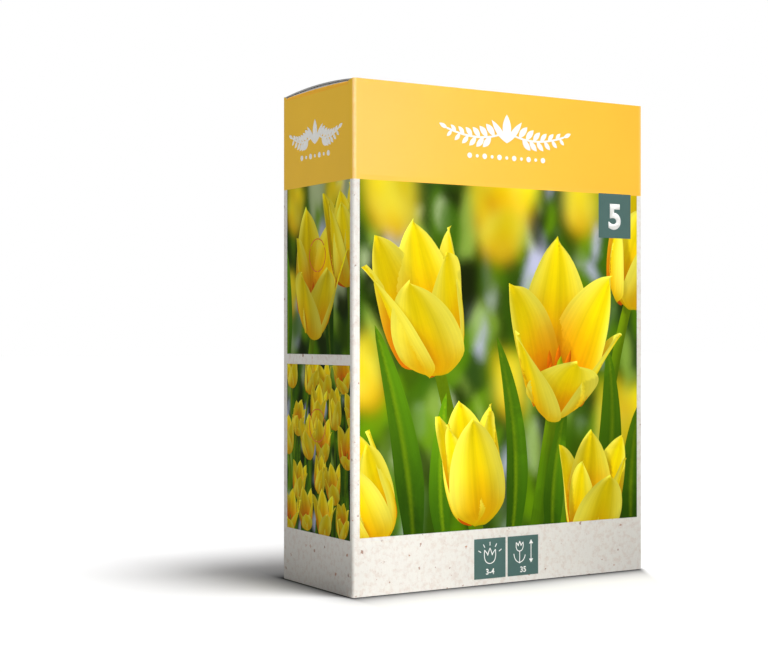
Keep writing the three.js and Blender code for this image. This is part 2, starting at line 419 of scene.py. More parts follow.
def make_yellow_board():
    finish = Finish("yellow_board")
    place = finish.place()
    return finish.done(uneven(finish, place, band_yellow), 0.5, board_grain(finish, place),
                       Specular_IOR_Level=0.22)


def make_grey_board():
    finish = Finish("grey_board")
    place = finish.place()
    clouds = finish.noise(place, 0.2, 4.0, 0.7) * 0.14 + 0.93
    colour = finish.shade(rgb(168, 168, 167), clouds)
    colour = with_fibres(finish, place, colour, rgb(138, 137, 134), 2.8, 0.7, 0.25)
    return finish.done(colour, 0.85, board_grain(finish, place, 0.00004))


printed_board = make_printed_board()
plain_board = make_plain_board()
inner_board = make_inner_board()
board_core = make_board_core()
yellow_board = make_yellow_board()
grey_board = make_grey_board()
print("board finishes:", [m.name for m in bpy.data.materials])

# %% [markdown]
# ## Helpers for modelling by operators
# Operators act on whatever is selected, so each piece starts with nothing selected, and its faces
# and edges are picked in code by their place. A piece that is done gets its thickness from
# Solidify: the first material is the printed face, the next the bare back, the third the cut edge.


# %% Modelling helpers
def start_fresh():
    if bpy.context.mode != "OBJECT":
        bpy.ops.object.mode_set(mode="OBJECT")
    bpy.ops.object.select_all(action="DESELECT")


def named(name):
    """The object that an operator just added, under its name."""
    obj = bpy.context.object
    obj.name = obj.data.name = name
    return obj


def take(obj):
    """Makes this the one object that operators act on."""
    start_fresh()
    obj.select_set(True)
    bpy.context.view_layer.objects.active = obj


def modified(obj, kind, **settings):
    bpy.ops.object.modifier_add(type=kind)
    modifier = obj.modifiers[-1]
    for name, value in settings.items():
        setattr(modifier, name, value)
    bpy.ops.object.modifier_apply(modifier=modifier.name)


def settle_mesh(obj, turn, place):
    """Turns and moves the mesh itself, and leaves the object at the origin."""
    if bpy.context.mode != "OBJECT":
        bpy.ops.object.mode_set(mode="OBJECT")
    obj.data.transform(Matrix.Translation(place) @ turn)
    obj.data.update()


def face_outwards(merge=0.0):
    """In edit mode: joins points that are closer than merge, and turns all faces outwards."""
    bpy.ops.mesh.select_all(action="SELECT")
    if merge:
        bpy.ops.mesh.remove_doubles(threshold=merge)
    bpy.ops.mesh.normals_make_consistent(inside=False)


def pick(obj, kind, test):
    """Selects the vertices, edges or faces of the mesh in edit mode whose middle passes the test."""
    bpy.ops.mesh.select_mode(type=kind)
    mesh = bmesh.from_edit_mesh(obj.data)
    for item in [*mesh.verts, *mesh.edges, *mesh.faces]:
        item.select_set(False)
    count = 0
    for item in {"VERT": mesh.verts, "EDGE": mesh.edges, "FACE": mesh.faces}[kind]:
        corners = [item.co] if kind == "VERT" else [v.co for v in item.verts]
        chosen = test(sum(corners, Vector()) / len(corners), corners)
        if chosen:
            item.select_set(True)
            count += 1
    bmesh.update_edit_mesh(obj.data)
    return count


def edge_line(name, start, end):
    """A mesh of one edge, left in edit mode with all of it selected."""
    start_fresh()
    bpy.ops.mesh.primitive_plane_add(size=1.0)
    obj = named(name)
    bpy.ops.object.mode_set(mode="EDIT")
    pick(obj, "VERT", lambda middle, _: middle.y > 0)
    bpy.ops.mesh.delete(type="VERT")
    mesh = bmesh.from_edit_mesh(obj.data)
    for vertex in mesh.verts:
        vertex.co = Vector(start) if vertex.co.x < 0 else Vector(end)
    bmesh.update_edit_mesh(obj.data)
    bpy.ops.mesh.select_all(action="SELECT")
    return obj


def spin(steps, angle, centre, axis):
    """Sweeps the selection about the axis. The operator turns the other way, so the angle is negated."""
    bpy.ops.mesh.spin(steps=steps, angle=-angle, center=centre, axis=axis)


def thicken(obj, materials):
    bpy.ops.object.mode_set(mode="OBJECT")
    for material in materials:
        obj.data.materials.append(material)
    modified(obj, "SOLIDIFY", thickness=board, offset=-1.0, use_even_offset=True,
             material_offset=1, material_offset_rim=2)
    bpy.ops.object.shade_smooth_by_angle(angle=math.radians(35))


def keep(obj, body, *nodes, slot):
    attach(obj, body)
    if nodes:
        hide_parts(*nodes)
    print(obj.name, "faces:", len(obj.data.polygons))


print("helpers ready in mode", bpy.context.mode)

# %% [markdown]
# ## The sleeve
# Four panels of one sheet, folded round and glued. A cube has those panels already. Its upright
# edges are bevelled to the radius that such board takes when it is creased, its foot is turned in
# a little, where the bottom flaps fold, and its top is cut to the heights of the three creases.

# %% Sleeve
crease_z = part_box("lid")[0].z
side_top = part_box("dust_flap_left")[0].z - 0.3 * MM
back_top = crease_z - 0.3 * MM
foot_radius = 0.25 * MM
flap_low, flap_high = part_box("dust_flap_right")
fold_x = width / 2 - fold_radius
slit = 0.08 * MM
corner_drop, corner_run = 0.75 * MM, 3 * MM

start_fresh()
bpy.ops.mesh.primitive_cube_add(size=1.0, location=(0, 0, height / 2), scale=(width, depth, height))
sleeve = named("folded_sleeve")
bpy.ops.object.transform_apply(location=True, rotation=True, scale=True)
bpy.ops.object.mode_set(mode="EDIT")
pick(sleeve, "FACE", lambda middle, _: middle.z > height - MM)
bpy.ops.mesh.delete(type="FACE")
uprights = pick(sleeve, "EDGE", lambda middle, ends: abs(ends[0].z - ends[1].z) > height / 2)
bpy.ops.mesh.bevel(offset=fold_radius, segments=6, affect="EDGES")
foot_edges = pick(sleeve, "EDGE", lambda middle, ends: max(end.z for end in ends) < 0.01 * MM)
bpy.ops.mesh.bevel(offset=foot_radius, segments=4, affect="EDGES")
pick(sleeve, "FACE", lambda middle, _: middle.z < 0.001 * MM)
bpy.ops.mesh.inset(thickness=0.15 * MM)
bpy.ops.mesh.delete(type="FACE")
for point, normal in (((0, 0, side_top), (0, 0, 1)), ((0, 0, back_top), (0, 0, 1)),
                      ((0, flap_low.y - slit, 0), (0, 1, 0)), ((0, flap_high.y + slit, 0), (0, 1, 0))):
    bpy.ops.mesh.select_all(action="SELECT")
    bpy.ops.mesh.bisect(plane_co=point, plane_no=normal)


def above_side_crease(middle, _):
    on_side_panel = abs(middle.x) > width / 2 - 0.1 * MM
    return on_side_panel and flap_low.y - slit < middle.y < flap_high.y + slit and middle.z > side_top


def above_lid_crease(middle, _):
    on_back_panel = abs(middle.x) < width / 2 - 0.5 * MM and middle.y > depth / 2 - fold_radius
    return on_back_panel and middle.z > back_top


for test in (above_side_crease, above_lid_crease):
    pick(sleeve, "FACE", test)
    bpy.ops.mesh.delete(type="FACE")
for vertex in bmesh.from_edit_mesh(sleeve.data).verts:
    if vertex.co.z > height - 0.01 * MM and abs(vertex.co.x) > fold_x:
        vertex.co.z -= corner_drop * min((depth / 2 - abs(vertex.co.y)) / corner_run, 1.0)
bmesh.update_edit_mesh(sleeve.data)
thicken(sleeve, [printed_board, inner_board, board_core])
keep(sleeve, "carton", "sleeve", slot="printed_board")
print("upright edges:", uprights, "foot edges:", foot_edges)

# %% [markdown]
# ## The lid
# The lid is sprung: it rises in a shallow arch between its two folds. Its section is three arcs,
# so one edge is spun three times, round the back fold, round the arch's far centre and round the
# front fold. That gives the CAD model's own curve, only finer.

# %% Lid
lid_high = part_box("lid")[1]
lid_half = lid_high.x
gap = 0.2 * MM
crease = Vector((0.0, back_y, height - fold_radius))
back_fold = Vector((0.0, back_y - fold_radius, crease.z))
front_fold = Vector((0.0, front_y + board + 0.4 * MM + fold_radius, crease.z))
half_span = (back_fold.y - front_fold.y) / 2
rise = lid_high.z - height
slope = 2 * math.atan(rise / half_span)
reach = half_span / math.sin(slope)
arch = Vector((0.0, (back_fold.y + front_fold.y) / 2, crease.z - reach * math.cos(slope)))
first = math.asin(gap / fold_radius)
along_x = (1.0, 0.0, 0.0)


def on_fold(fold, angle, x):
    return Vector((x, fold.y + fold_radius * math.cos(angle), fold.z + fold_radius * math.sin(angle)))


lid = edge_line("arched_lid", on_fold(back_fold, first, -lid_half), on_fold(back_fold, first, lid_half))
spin(8, math.pi / 2 - slope - first, back_fold, along_x)
spin(32, 2 * slope, arch, along_x)
spin(8, math.pi / 2 - slope - first, front_fold, along_x)
face_outwards(merge=0.001 * MM)
thicken(lid, [yellow_board, inner_board, board_core])
keep(lid, "lid", "lid", slot="yellow_board")
print("lid corners in mm:", [[round(v / MM, 2) for v in lid.bound_box[i]] for i in (0, 6)])

# %% [markdown]
# ## The tuck flap
# The tongue that slides in behind the front panel. It hangs from the lid's front fold, leans inwards
# and has two large rounded corners, so that it finds its way in. A plane's two low corners are
# bevelled as points, which rounds them in the plane.

# %% Tuck flap
tuck_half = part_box("tuck_flap")[1].x
tuck_length = 13.2 * MM
tuck_lean = math.radians(11.5)
tuck_hinge = Vector((0.0, front_y + board + 0.4 * MM, crease.z))

start_fresh()
bpy.ops.mesh.primitive_plane_add(size=1.0, rotation=(math.pi / 2, 0, 0),
                                 location=(0, 0, -(gap + tuck_length) / 2))
tuck = named("tuck_tongue")
tuck.scale = (2 * tuck_half, tuck_length - gap, 1.0)
bpy.ops.object.transform_apply(location=True, rotation=True, scale=True)
bpy.ops.object.mode_set(mode="EDIT")
pick(tuck, "VERT", lambda middle, _: middle.z < -tuck_length / 2)
bpy.ops.mesh.bevel(offset=8 * MM, segments=10, affect="VERTICES")
thicken(tuck, [yellow_board, inner_board, board_core])
settle_mesh(tuck, Matrix.Rotation(tuck_lean, 4, "X"), tuck_hinge)
keep(tuck, "tuck_flap", "tuck_flap", slot="yellow_board")
print("tuck flap hangs to z in mm:", round(min(v.co.z for v in tuck.data.vertices) / MM, 2))

# %% [markdown]
# ## The dust flaps
# Two flaps fold in from the side panels under the lid and are sprung up against it, so they take the
# lid's arch. The yellow print runs over the fold, and the rest is bare grey board. Each flap is a
# fold, spun from a divided edge, and a flat part, extruded from the fold's last edge, narrowed to its
# tip and then arched.

# %% Dust flaps
dust_crease_z = crease.z - 0.7 * MM
dust_edge = (fold_x + fold_radius * math.cos(first), dust_crease_z + fold_radius * math.sin(first))
dust_tip = flap_low.x
tip_low, tip_high = flap_low.y + 4.2 * MM, flap_high.y - 16 * MM
flap_deep = flap_high.y - flap_low.y
KNEE, KNEE_RISE = 0.62, 0.42    # at this share of the fold's turn, the lift has this share of its height


def lid_bow(y):
    """How far the lid's arch stands above its folds at y."""
    across = min(abs(y - arch.y), half_span)
    return arch.z + math.sqrt((reach + fold_radius) ** 2 - across ** 2) - height


def arch_up(vertex):
    """Lifts a point of the flap: not at all where it leaves the crease, in full past the fold."""
    turned = math.atan2(vertex.co.z - dust_crease_z, max(vertex.co.x - fold_x, 0.0))
    share = (turned - first) / (math.pi / 2 - first)
    share = KNEE_RISE * min(share / KNEE, 1.0) + (1 - KNEE_RISE) * max((share - KNEE) / (1 - KNEE), 0.0)
    return share * (max(lid_bow(vertex.co.y), 0.0) + 0.05 * MM)


def paint_fold(flap):
    """The outer faces of the fold are printed yellow up to a line, then show a narrow strip of white board,
    which is also a painted highlight on the fold's shoulder.
    """
    for face in flap.data.polygons:
        if face.material_index == 0 and abs(face.center.x) > fold_x:
            across = [flap.data.vertices[index].co for index in face.vertices]
            turned = min(fold_turn(abs(corner.x)) for corner in across)
            # white board from 55 to 65 degrees of the turn: a painted highlight on the fold's shoulder
            face.material_index = 3 if turned < 55 else 4 if turned < 65 else 0


def fold_turn(x):
    return math.degrees(math.acos(min((x - fold_x) / fold_radius, 1.0)))


def make_dust_flap(side):
    word = "left" if side < 0 else "right"
    centre = Vector((fold_x, 0.0, dust_crease_z))
    back, front = (Vector((dust_edge[0], y, dust_edge[1])) for y in (flap_high.y, flap_low.y))
    flap = edge_line(f"dust_flap_{word}_board", back, front)
    bpy.ops.mesh.subdivide(number_cuts=23)
    bpy.ops.mesh.select_all(action="SELECT")
    spin(8, -(math.pi / 2 - first), centre, (0.0, 1.0, 0.0))
    bpy.ops.mesh.extrude_edges_move(TRANSFORM_OT_translate={"value": (dust_tip - fold_x, 0, 0)})
    tip_vertices = pick(flap, "VERT", lambda middle, _: middle.x < dust_tip + MM)
    for vertex in bmesh.from_edit_mesh(flap.data).verts:
        if vertex.select:
            vertex.co.y = tip_low + (tip_high - tip_low) * (vertex.co.y - flap_low.y) / flap_deep
    bmesh.update_edit_mesh(flap.data)
    ends = pick(flap, "VERT", lambda middle, _: middle.x < dust_tip + MM
                and not tip_low + 0.1 * MM < middle.y < tip_high - 0.1 * MM)
    bpy.ops.mesh.bevel(offset=0.9 * MM, segments=4, affect="VERTICES")
    for vertex in bmesh.from_edit_mesh(flap.data).verts:
        vertex.co.z += arch_up(vertex)
    bmesh.update_edit_mesh(flap.data)
    face_outwards()
    if side < 0:
        settle_mesh(flap, Matrix.Scale(-1, 4, (1, 0, 0)), (0, 0, 0))
        bpy.ops.object.mode_set(mode="EDIT")
        face_outwards()
    faces = bmesh.from_edit_mesh(flap.data).faces
    if sum(face.normal.z * face.calc_area() for face in faces) < 0:
        bpy.ops.mesh.flip_normals()
    thicken(flap, [grey_board, inner_board, board_core, yellow_board, plain_board])
    paint_fold(flap)
    keep(flap, f"dust_flap_{word}", f"dust_flap_{word}", slot="grey_board")
    print("tip points and corners:", tip_vertices, ends)


for side in (-1, 1):
    make_dust_flap(side)

# %% [markdown]
# ## The creases
# Between two panels of one sheet there is only a crease. Each is a narrow strip of board that bridges
# the two parts.

# %% Crease strips
def crease_strip(name, points, along, half, materials):
    """A strip through the points, as wide as twice half in the direction along."""
    along = Vector(along)
    strip = edge_line(name, Vector(points[0]) - along * half, Vector(points[0]) + along * half)
    for here, there in zip(points, points[1:]):
        bpy.ops.mesh.extrude_edges_move(TRANSFORM_OT_translate={"value": Vector(there) - Vector(here)})
    bpy.ops.mesh.select_all(action="SELECT")
    faces = bmesh.from_edit_mesh(strip.data).faces
    heart = Vector((0, 0, height / 2))
    if sum(face.normal.dot(face.calc_center_median() - heart) for face in faces) < 0:
        bpy.ops.mesh.flip_normals()
    thicken(strip, materials)
    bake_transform(strip)
    print(name, "faces:", len(strip.data.polygons))


def between(start, middle, end, steps=4):
    first_half = [Vector(start).lerp(Vector(middle), i / steps) for i in range(steps)]
    return first_half + [Vector(middle).lerp(Vector(end), i / steps) for i in range(steps + 1)]


yellow_sheet = [yellow_board, inner_board, board_core]
lid_edge = on_fold(back_fold, first, 0.0)
crease_strip("lid_crease_strip", between((0, back_y, back_top), (0, back_y, crease.z), lid_edge),
             (1, 0, 0), lid_half, yellow_sheet)
front_edge = on_fold(front_fold, math.pi - first, 0.0)
tuck_edge = tuck_hinge + Vector((0, math.sin(tuck_lean), -math.cos(tuck_lean))) * gap
crease_strip("tuck_crease_strip", between(front_edge, tuck_hinge, tuck_edge),
             (1, 0, 0), tuck_half, yellow_sheet)
for side, word in ((-1, "left"), (1, "right")):
    middle_y = (flap_low.y + flap_high.y) / 2
    side_x = side * width / 2
    flap_edge = (side * dust_edge[0], middle_y, dust_edge[1])
    path = between((side_x, middle_y, side_top), (side_x, middle_y, dust_crease_z), flap_edge)
    crease_strip(f"dust_crease_strip_{word}", path, (0, 1, 0), flap_deep / 2,
                 yellow_sheet)

# %% [markdown]
# ## The glued flaps
# The CAD model's bottom flaps and seam flap have the right shape already: flat pieces of board. They
# stay, and only get their finishes. The outer bottom flap shows from below, so it gets the plain speckled
# board.

# %% Glued flaps
for name, finish in (("bottom_outer_flap", plain_board), ("bottom_inner_flap", inner_board),
                     ("bottom_dust_flap_left", inner_board), ("bottom_dust_flap_right", inner_board),
                     ("seam_flap", inner_board)):
    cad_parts[name].data.materials[0] = finish
print("glued flaps finished")

# %% [markdown]
# ## The bulbs
# Five dry bulbs lie in the carton. A bulb is a round body on a flat root plate, drawn out into a dry
# neck, and most have grown a smaller side bulb under the same skin. Two spun outlines are joined and
# remeshed into one skin, and noise then draws its papery wrinkles, which run from root to neck.

# %% Bulb skin
def make_bulb_skin():
    finish = Finish("papery_skin")
    place = finish.attribute("bulb_place")
    x, y, z = finish.split(place)

    def drawn_out(across, up, detail, roughness, distortion=0.0):
        """Noise that is drawn out from root to neck."""
        return finish.noise(finish.join(x * across, y * across, z * up), 1.0, detail, roughness, distortion)

    streaks = drawn_out(0.55, 0.07, 5.0, 0.65)
    colour = finish.mix(finish.ease(streaks, 0.34, 0.66), rgb(104, 61, 32), rgb(176, 119, 66))
    veins = drawn_out(1.9, 0.16, 3.0, 0.6)
    colour = finish.mix(finish.ease(veins, 0.58, 0.7) * 0.55, colour, rgb(72, 40, 21))
    bare = drawn_out(0.11, 0.05, 3.0, 0.55, 0.6)
    torn = finish.ease(bare, 0.6, 0.625)
    scale_leaf = finish.mix(finish.ease(veins, 0.4, 0.7), rgb(226, 205, 158), rgb(201, 171, 116))
    colour = finish.mix(torn * 0.9, colour, scale_leaf)
    neck = finish.ease(z, 31.0, 39.0)
    colour = finish.mix(neck * 0.6, colour, rgb(92, 62, 40))
    root = 1.0 - finish.ease(z, 0.6, 2.4)
    rough_root = finish.noise(place, 0.8, 4.0, 0.7)
    colour = finish.mix(root * 0.85, colour, finish.mix(rough_root, rgb(126, 104, 78), rgb(78, 58, 42)))
    level = streaks * 0.4 + veins * 0.35 - torn * 0.3 + rough_root * root
    return finish.done(colour, 0.66 - torn * 0.16 + root * 0.2, finish.bump(level, 0.0004),
                       Specular_IOR_Level=0.4)


papery_skin = make_bulb_skin()
print("skin nodes:", len(papery_skin.node_tree.nodes))

# %% Bulb shape
BULB_OUTLINE = ((0.0, 0.0), (0.17, 0.0), (0.2, 0.035), (0.34, 0.1), (0.475, 0.26), (0.5, 0.42),
                (0.42, 0.6), (0.25, 0.76), (0.13, 0.87), (0.08, 0.97), (0.0, 1.0))
BULBS = {  # tilt and heading in degrees, width and height in mm, size of the side bulb
    "bulb_1": (24, 200, 37, 46, 0.68),
    "bulb_2": (-68, 35, 35, 45, 0.0),
    "bulb_3": (16, 20, 38, 44, 0.62),
    "bulb_4": (74, 150, 35, 47, 0.6),
    "bulb_5": (-38, 320, 36, 45, 0.7),
}


def smooth_through(points, steps):
    """Points along a Catmull-Rom curve through the given ones."""
    ends = [points[0], *points, points[-1]]
    line = []
    for a, b, c, d in zip(ends, ends[1:], ends[2:], ends[3:]):
        for step in range(steps):
            t = step / steps
            line.append(tuple(0.5 * (2 * q + (r - p) * t + (2 * p - 5 * q + 4 * r - s) * t * t
                                     + (3 * q - p - 3 * r + s) * t ** 3)
                              for p, q, r, s in zip(a, b, c, d)))
    return [*line, points[-1]]


def spun_body(name, wide, tall):
    """The bulb's outline as a chain of edges, spun once round the upright axis and closed."""
    line = [(max(across, 0.0) * wide, up * tall) for across, up in smooth_through(BULB_OUTLINE, 4)]
    body = edge_line(name, (line[0][0], 0, line[0][1]), (line[1][0], 0, line[1][1]))
    pick(body, "VERT", lambda middle, _: (middle - Vector((line[1][0], 0, line[1][1]))).length < 1e-6)
    for (x0, z0), (x1, z1) in zip(line[1:], line[2:]):
        bpy.ops.mesh.extrude_vertices_move(TRANSFORM_OT_translate={"value": (x1 - x0, 0, z1 - z0)})
    bpy.ops.mesh.select_all(action="SELECT")
    spin(40, 2 * math.pi, (0, 0, 0), (0, 0, 1))
    face_outwards(merge=0.01 * MM)
    bpy.ops.object.mode_set(mode="OBJECT")
    return body


print("points of a bulb's outline:", len(smooth_through(BULB_OUTLINE, 4)))


# %% Bulbs
SIDE_LEAN, SIDE_OUT, SIDE_UP, SIDE_STRETCH = math.radians(14), 0.27, 0.05, 1.15


def wrinkle(bulb, seed):
    """Draws the skin's long wrinkles, and keeps each point's place on the upright bulb for the finish."""
    mesh = bulb.data
    normals = [vertex.normal.copy() for vertex in mesh.vertices]
    places = mesh.attributes.new("bulb_place", "FLOAT_VECTOR", "POINT")
    offset = Vector((17.0 * seed, 5.0, 3.0))
    for index, vertex in enumerate(mesh.vertices):
        place = vertex.co / MM
        places.data[index].vector = place
        deep = 0.0
        for across, up, share in ((0.35, 0.06, 0.32), (1.1, 0.14, 0.16)):
            spot = Vector((place.x * across, place.y * across, place.z * up)) + offset
            deep += share * abs(noise.noise(spot))
        vertex.co -= normals[index] * deep * MM


def make_bulb(name, tilt, heading, wide, tall, side_size):
    bulb = spun_body(f"{name}_skin", wide * MM, tall * MM)
    if side_size:
        side = spun_body(f"{name}_side", wide * side_size * MM, tall * side_size * SIDE_STRETCH * MM)
        settle_mesh(side, Matrix.Rotation(SIDE_LEAN, 4, "Y"), (wide * SIDE_OUT * MM, 0, tall * SIDE_UP * MM))
        bulb.select_set(True)
        bpy.context.view_layer.objects.active = bulb
        bpy.ops.object.join()
    modified(bulb, "REMESH", mode="VOXEL", voxel_size=0.7 * MM)
    modified(bulb, "SMOOTH", iterations=3)
    wrinkle(bulb, sum(map(ord, name)))
    turn = Matrix.Rotation(math.radians(heading), 4, "Z") @ Matrix.Rotation(math.radians(tilt), 4, "X")
    settle_mesh(bulb, turn, (0, 0, 0))
    bulb_low, bulb_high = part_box(name)
    spans = [[pick_end(vertex.co[axis] for vertex in bulb.data.vertices) for axis in range(3)]
             for pick_end in (min, max)]
    middle = (Vector(spans[0]) + Vector(spans[1])) / 2
    settle_mesh(bulb, Matrix.Identity(4), (bulb_low + bulb_high) / 2 - middle)
    bpy.ops.object.shade_smooth()
    bulb.data.materials.clear()
    bulb.data.materials.append(papery_skin)
    keep(bulb, "carton", name, slot="bulb_skin")


for bulb_name, facts in BULBS.items():
    make_bulb(bulb_name, *facts)

# %% [markdown]
# ## How the pictures are made
# Three sides of the carton show printed pictures of yellow spring flowers. A printed picture is flat,
# so it is a thin sheet on the panel, and no image file is used. The flowers are first modelled as real
# forms in the memory of the script: cups of petals, stems and blades. Rays cast straight at them tell
# what shows at each point and how much light falls there, as in a photograph. The sheet's mesh is
# then drawn so that its edges follow the outlines of petals and leaves, which keeps them sharp, and
# every corner of its faces stores the colour found there.

# %% Forms to be pictured
VIEWER = 400.0                          # how far in front of the forms the viewer is, in mm
UP_CLOSE = Vector((0.0, 0.0, 1.0))      # the way from the forms to the viewer


class Subject:
    """Forms in front of the camera: x to the right, y up and z towards the viewer, in millimetres."""

    def __init__(self):
        self.points, self.normals, self.fronts, self.backs, self.places = [], [], [], [], []
        self.faces, self.owners, self.lines = [], [], []
        self.count = 0

    def add(self, rows, front, back, kind):
        """A grid of points. The functions front and back give its two inks at u along and v across."""
        base, tall, wide = len(self.points), len(rows), len(rows[0])
        for i, row in enumerate(rows):
            for j, point in enumerate(row):
                along = rows[min(i + 1, tall - 1)][j] - rows[max(i - 1, 0)][j]
                across = row[min(j + 1, wide - 1)] - row[max(j - 1, 0)]
                u, v = i / (tall - 1), 2 * j / (wide - 1) - 1
                self.points.append(point)
                self.normals.append(along.cross(across).normalized())
                self.fronts.append(Vector(front(u, v)))
                self.backs.append(Vector(back(u, v)))
                self.places.append(Vector((u, v, kind)))
        cell = [(i * wide + j + base) for i in range(tall - 1) for j in range(wide - 1)]
        for a in cell:
            self.faces += [(a, a + 1, a + wide), (a + 1, a + wide + 1, a + wide)]
        self.owners += [self.count] * (2 * len(cell))
        self.count += 1
        ring = [base + j for j in range(wide)] + [base + i * wide + wide - 1 for i in range(1, tall)]
        ring += [base + (tall - 1) * wide + j for j in range(wide - 2, -1, -1)]
        ring += [base + i * wide for i in range(tall - 2, 0, -1)]
        self.lines += [(self.points[a].xy, self.points[b].xy) for a, b in zip(ring, ring[1:] + ring[:1])]
        for face in self.faces[-2 * len(cell):]:
            self.lines += self.turning_edge(face)

    def turning_edge(self, face):
        """Where a curved form turns away from the viewer inside this triangle, as one short line."""
        ends = []
        for a, b in zip(face, face[1:] + face[:1]):
            here, there = self.normals[a].z, self.normals[b].z
            if (here < 0) != (there < 0):
                ends.append(self.points[a].lerp(self.points[b], here / (here - there)).xy)
        return [tuple(ends)] if len(ends) == 2 else []

    def form(self, index):
        """A number for the form and the side of it that this face shows."""
        a, b, c = (self.points[i] for i in self.faces[index])
        return 2 * self.owners[index] + int((b - a).cross(c - a).z > 0)

    def ready(self):
        self.tree = BVHTree.FromPolygons(self.points, self.faces)
        return self

    def hit(self, x, y):
        """Where the viewer's ray at x, y meets the forms, and the face that it meets, or None."""
        spot, _, index, _ = self.tree.ray_cast(Vector((x, y, VIEWER)), -UP_CLOSE)
        return spot, index


print("ways of a form:", [name for name in vars(Subject) if name[0] != "_"])

# %% Light on the forms
SUN = Vector((-0.5, 0.62, 0.6)).normalized()
SUN_REACH, SKY_REACH = 90.0, 22.0       # how far off a form can keep the light away, in mm
SUN_LIGHT, SKY_LIGHT, EVEN_LIGHT = 0.62, 0.46, 0.22
THROUGH, GLOW = 0.55, 0.42      # light that comes through a petal, and light between petals
CLEAR = 0.25                    # how far off its form a ray towards the light starts, in mm
SHOULDER = 0.14                 # how far the lightest colours are held back, so that they don't clip


def ring_of_rays(count, tilt, turn):
    return [Vector((math.sin(tilt) * math.cos(turn + 2 * math.pi * i / count),
                    math.sin(tilt) * math.sin(turn + 2 * math.pi * i / count), math.cos(tilt)))
            for i in range(count)]


SUN_RAYS = [SUN.to_track_quat("Z", "Y") @ ray for ray in ring_of_rays(4, 0.1, 0.3)] + [SUN]
SKY_RAYS = ring_of_rays(4, 0.45, 0.2) + ring_of_rays(7, 1.05, 0.5)


def open_share(subject, start, rays, reach):
    """The share of the rays from a point that meet no form."""
    return sum(subject.tree.ray_cast(start, ray, reach)[2] is None for ray in rays) / len(rays)


def inside_face(values, corners, shares):
    total = Vector()
    for i, share in zip(corners, shares):
        total += values[i] * share
    return total


def look(subject, x, y):
    """What shows at x, y: the form's number, its colour in this light, and its place on the form."""
    spot, index = subject.hit(x, y)
    if index is None:
        return None
    face = subject.faces[index]
    shares = poly_3d_calc([subject.points[i] for i in face], spot)
    normal = inside_face(subject.normals, face, shares).normalized()
    place = inside_face(subject.places, face, shares)
    inks, side = (subject.backs, -1) if subject.form(index) % 2 else (subject.fronts, 1)
    normal = normal * side
    facing = normal.dot(SUN)
    sun, lit_side = (facing, 1) if facing > 0 else (-THROUGH * facing, -1)
    sun *= open_share(subject, spot + normal * CLEAR * lit_side, SUN_RAYS, SUN_REACH)
    turn = normal.to_track_quat("Z", "Y")
    sky = open_share(subject, spot + normal * CLEAR, [turn @ ray for ray in SKY_RAYS], SKY_REACH)
    light = SUN_LIGHT * sun + SKY_LIGHT * sky + EVEN_LIGHT
    glow = GLOW * (1.0 - sky)
    lit = (min(part * light + part * part * glow, 1.0) for part in inside_face(inks, face, shares))
    return subject.form(index), Vector(part * (1.0 - SHOULDER * part) for part in lit), place


print("rays towards the light:", len(SUN_RAYS), "and towards the sky:", len(SKY_RAYS))

# %% [markdown]
# ## Petals, stems and blades
# A petal is a narrow sheet. Its middle line starts flat at the stem, turns up and leans in or out at
# the tip, and its cross-section is an arc, a little flatter than the cup. Three outer petals stand
# before the gaps of three inner ones, and each overlaps its neighbour on one side, as they really do.

# %% Inks of a flower
def ease(value, start, end):
    share = min(max((value - start) / (end - start), 0.0), 1.0)
    return share * share * (3 - 2 * share)


def blend_inks(share, first, second):
    return tuple(a + (b - a) * share for a, b in zip(first, second))


def ink(red, green, blue):
    return rgb(red, green, blue)[:3]


LEMON, GOLD, AMBER = ink(250, 238, 96), ink(246, 222, 10), ink(250, 182, 8)
DEEP, LIME, STEM_GREEN = ink(240, 146, 4), ink(182, 198, 26), ink(98, 136, 16)
BLADE_LIGHT, BLADE_DARK = ink(106, 150, 24), ink(40, 80, 8)
PETAL, GREEN, HEART = 1.0, 2.0, 3.0     # the kinds of form, which the printed finish reads
print("half way from gold to amber:", [round(part, 2) for part in blend_inks(0.5, GOLD, AMBER)])

# %% Petals
LEANS = ((0.0, 78), (0.12, 52), (0.3, 14), (0.6, -6), (0.85, -2), (1.0, 4))
FINE_PETAL, SOFT_PETAL = (26, 16), (10, 6)      # cells along and across a petal


def petal_rows(around, length, open_degrees, inner, detail, swing):
    """Rows of points from base to tip. LEANS says how far the middle line leans out along its way."""
    steps, sides = detail
    radius, rise, rows = 0.05 * length, 0.0, []
    for i in range(steps + 1):
        u = i / steps
        for (u0, lean0), (u1, lean1) in zip(LEANS, LEANS[1:]):
            if u0 <= u <= u1:
                lean = lean0 + (lean1 - lean0) * (u - u0) / (u1 - u0)
        lean = math.radians(lean + open_degrees * ease(u, 0.1, 0.75) + 10 * swing * ease(u, 0.7, 1.0))
        if i:
            radius += math.sin(lean) * length * 1.06 / steps
            rise += math.cos(lean) * length * 1.06 / steps
        half = 0.3 * length * math.sin(math.pi * (0.1 + 0.9 * u) ** 0.86) ** 0.72
        half *= (1.0 - 0.25 * ease(u, 0.9, 1.0)) * (0.24 + 0.76 * ease(u, 0.0, 0.28))
        curve = max(radius * (0.9 if inner else 1.0), 0.17 * length) * 1.3
        row = []
        for j in range(sides + 1):
            v = 2 * j / sides - 1
            turn = v * half / curve
            out = radius * (0.86 if inner else 1.0) - curve * (1 - math.cos(turn))
            out += length * (0.022 * v + 0.012 * math.sin(5 * u + 3 * v + swing * 4) * v * v)
            out -= length * 0.014 * math.exp(-((v / 0.14) ** 2)) * ease(u, 0.0, 0.3)
            side = curve * math.sin(turn)
            point = Vector((out * math.cos(around) - side * math.sin(around), rise,
                            -out * math.sin(around) - side * math.cos(around)))
            row.append(point)
        rows.append(row)
    return rows


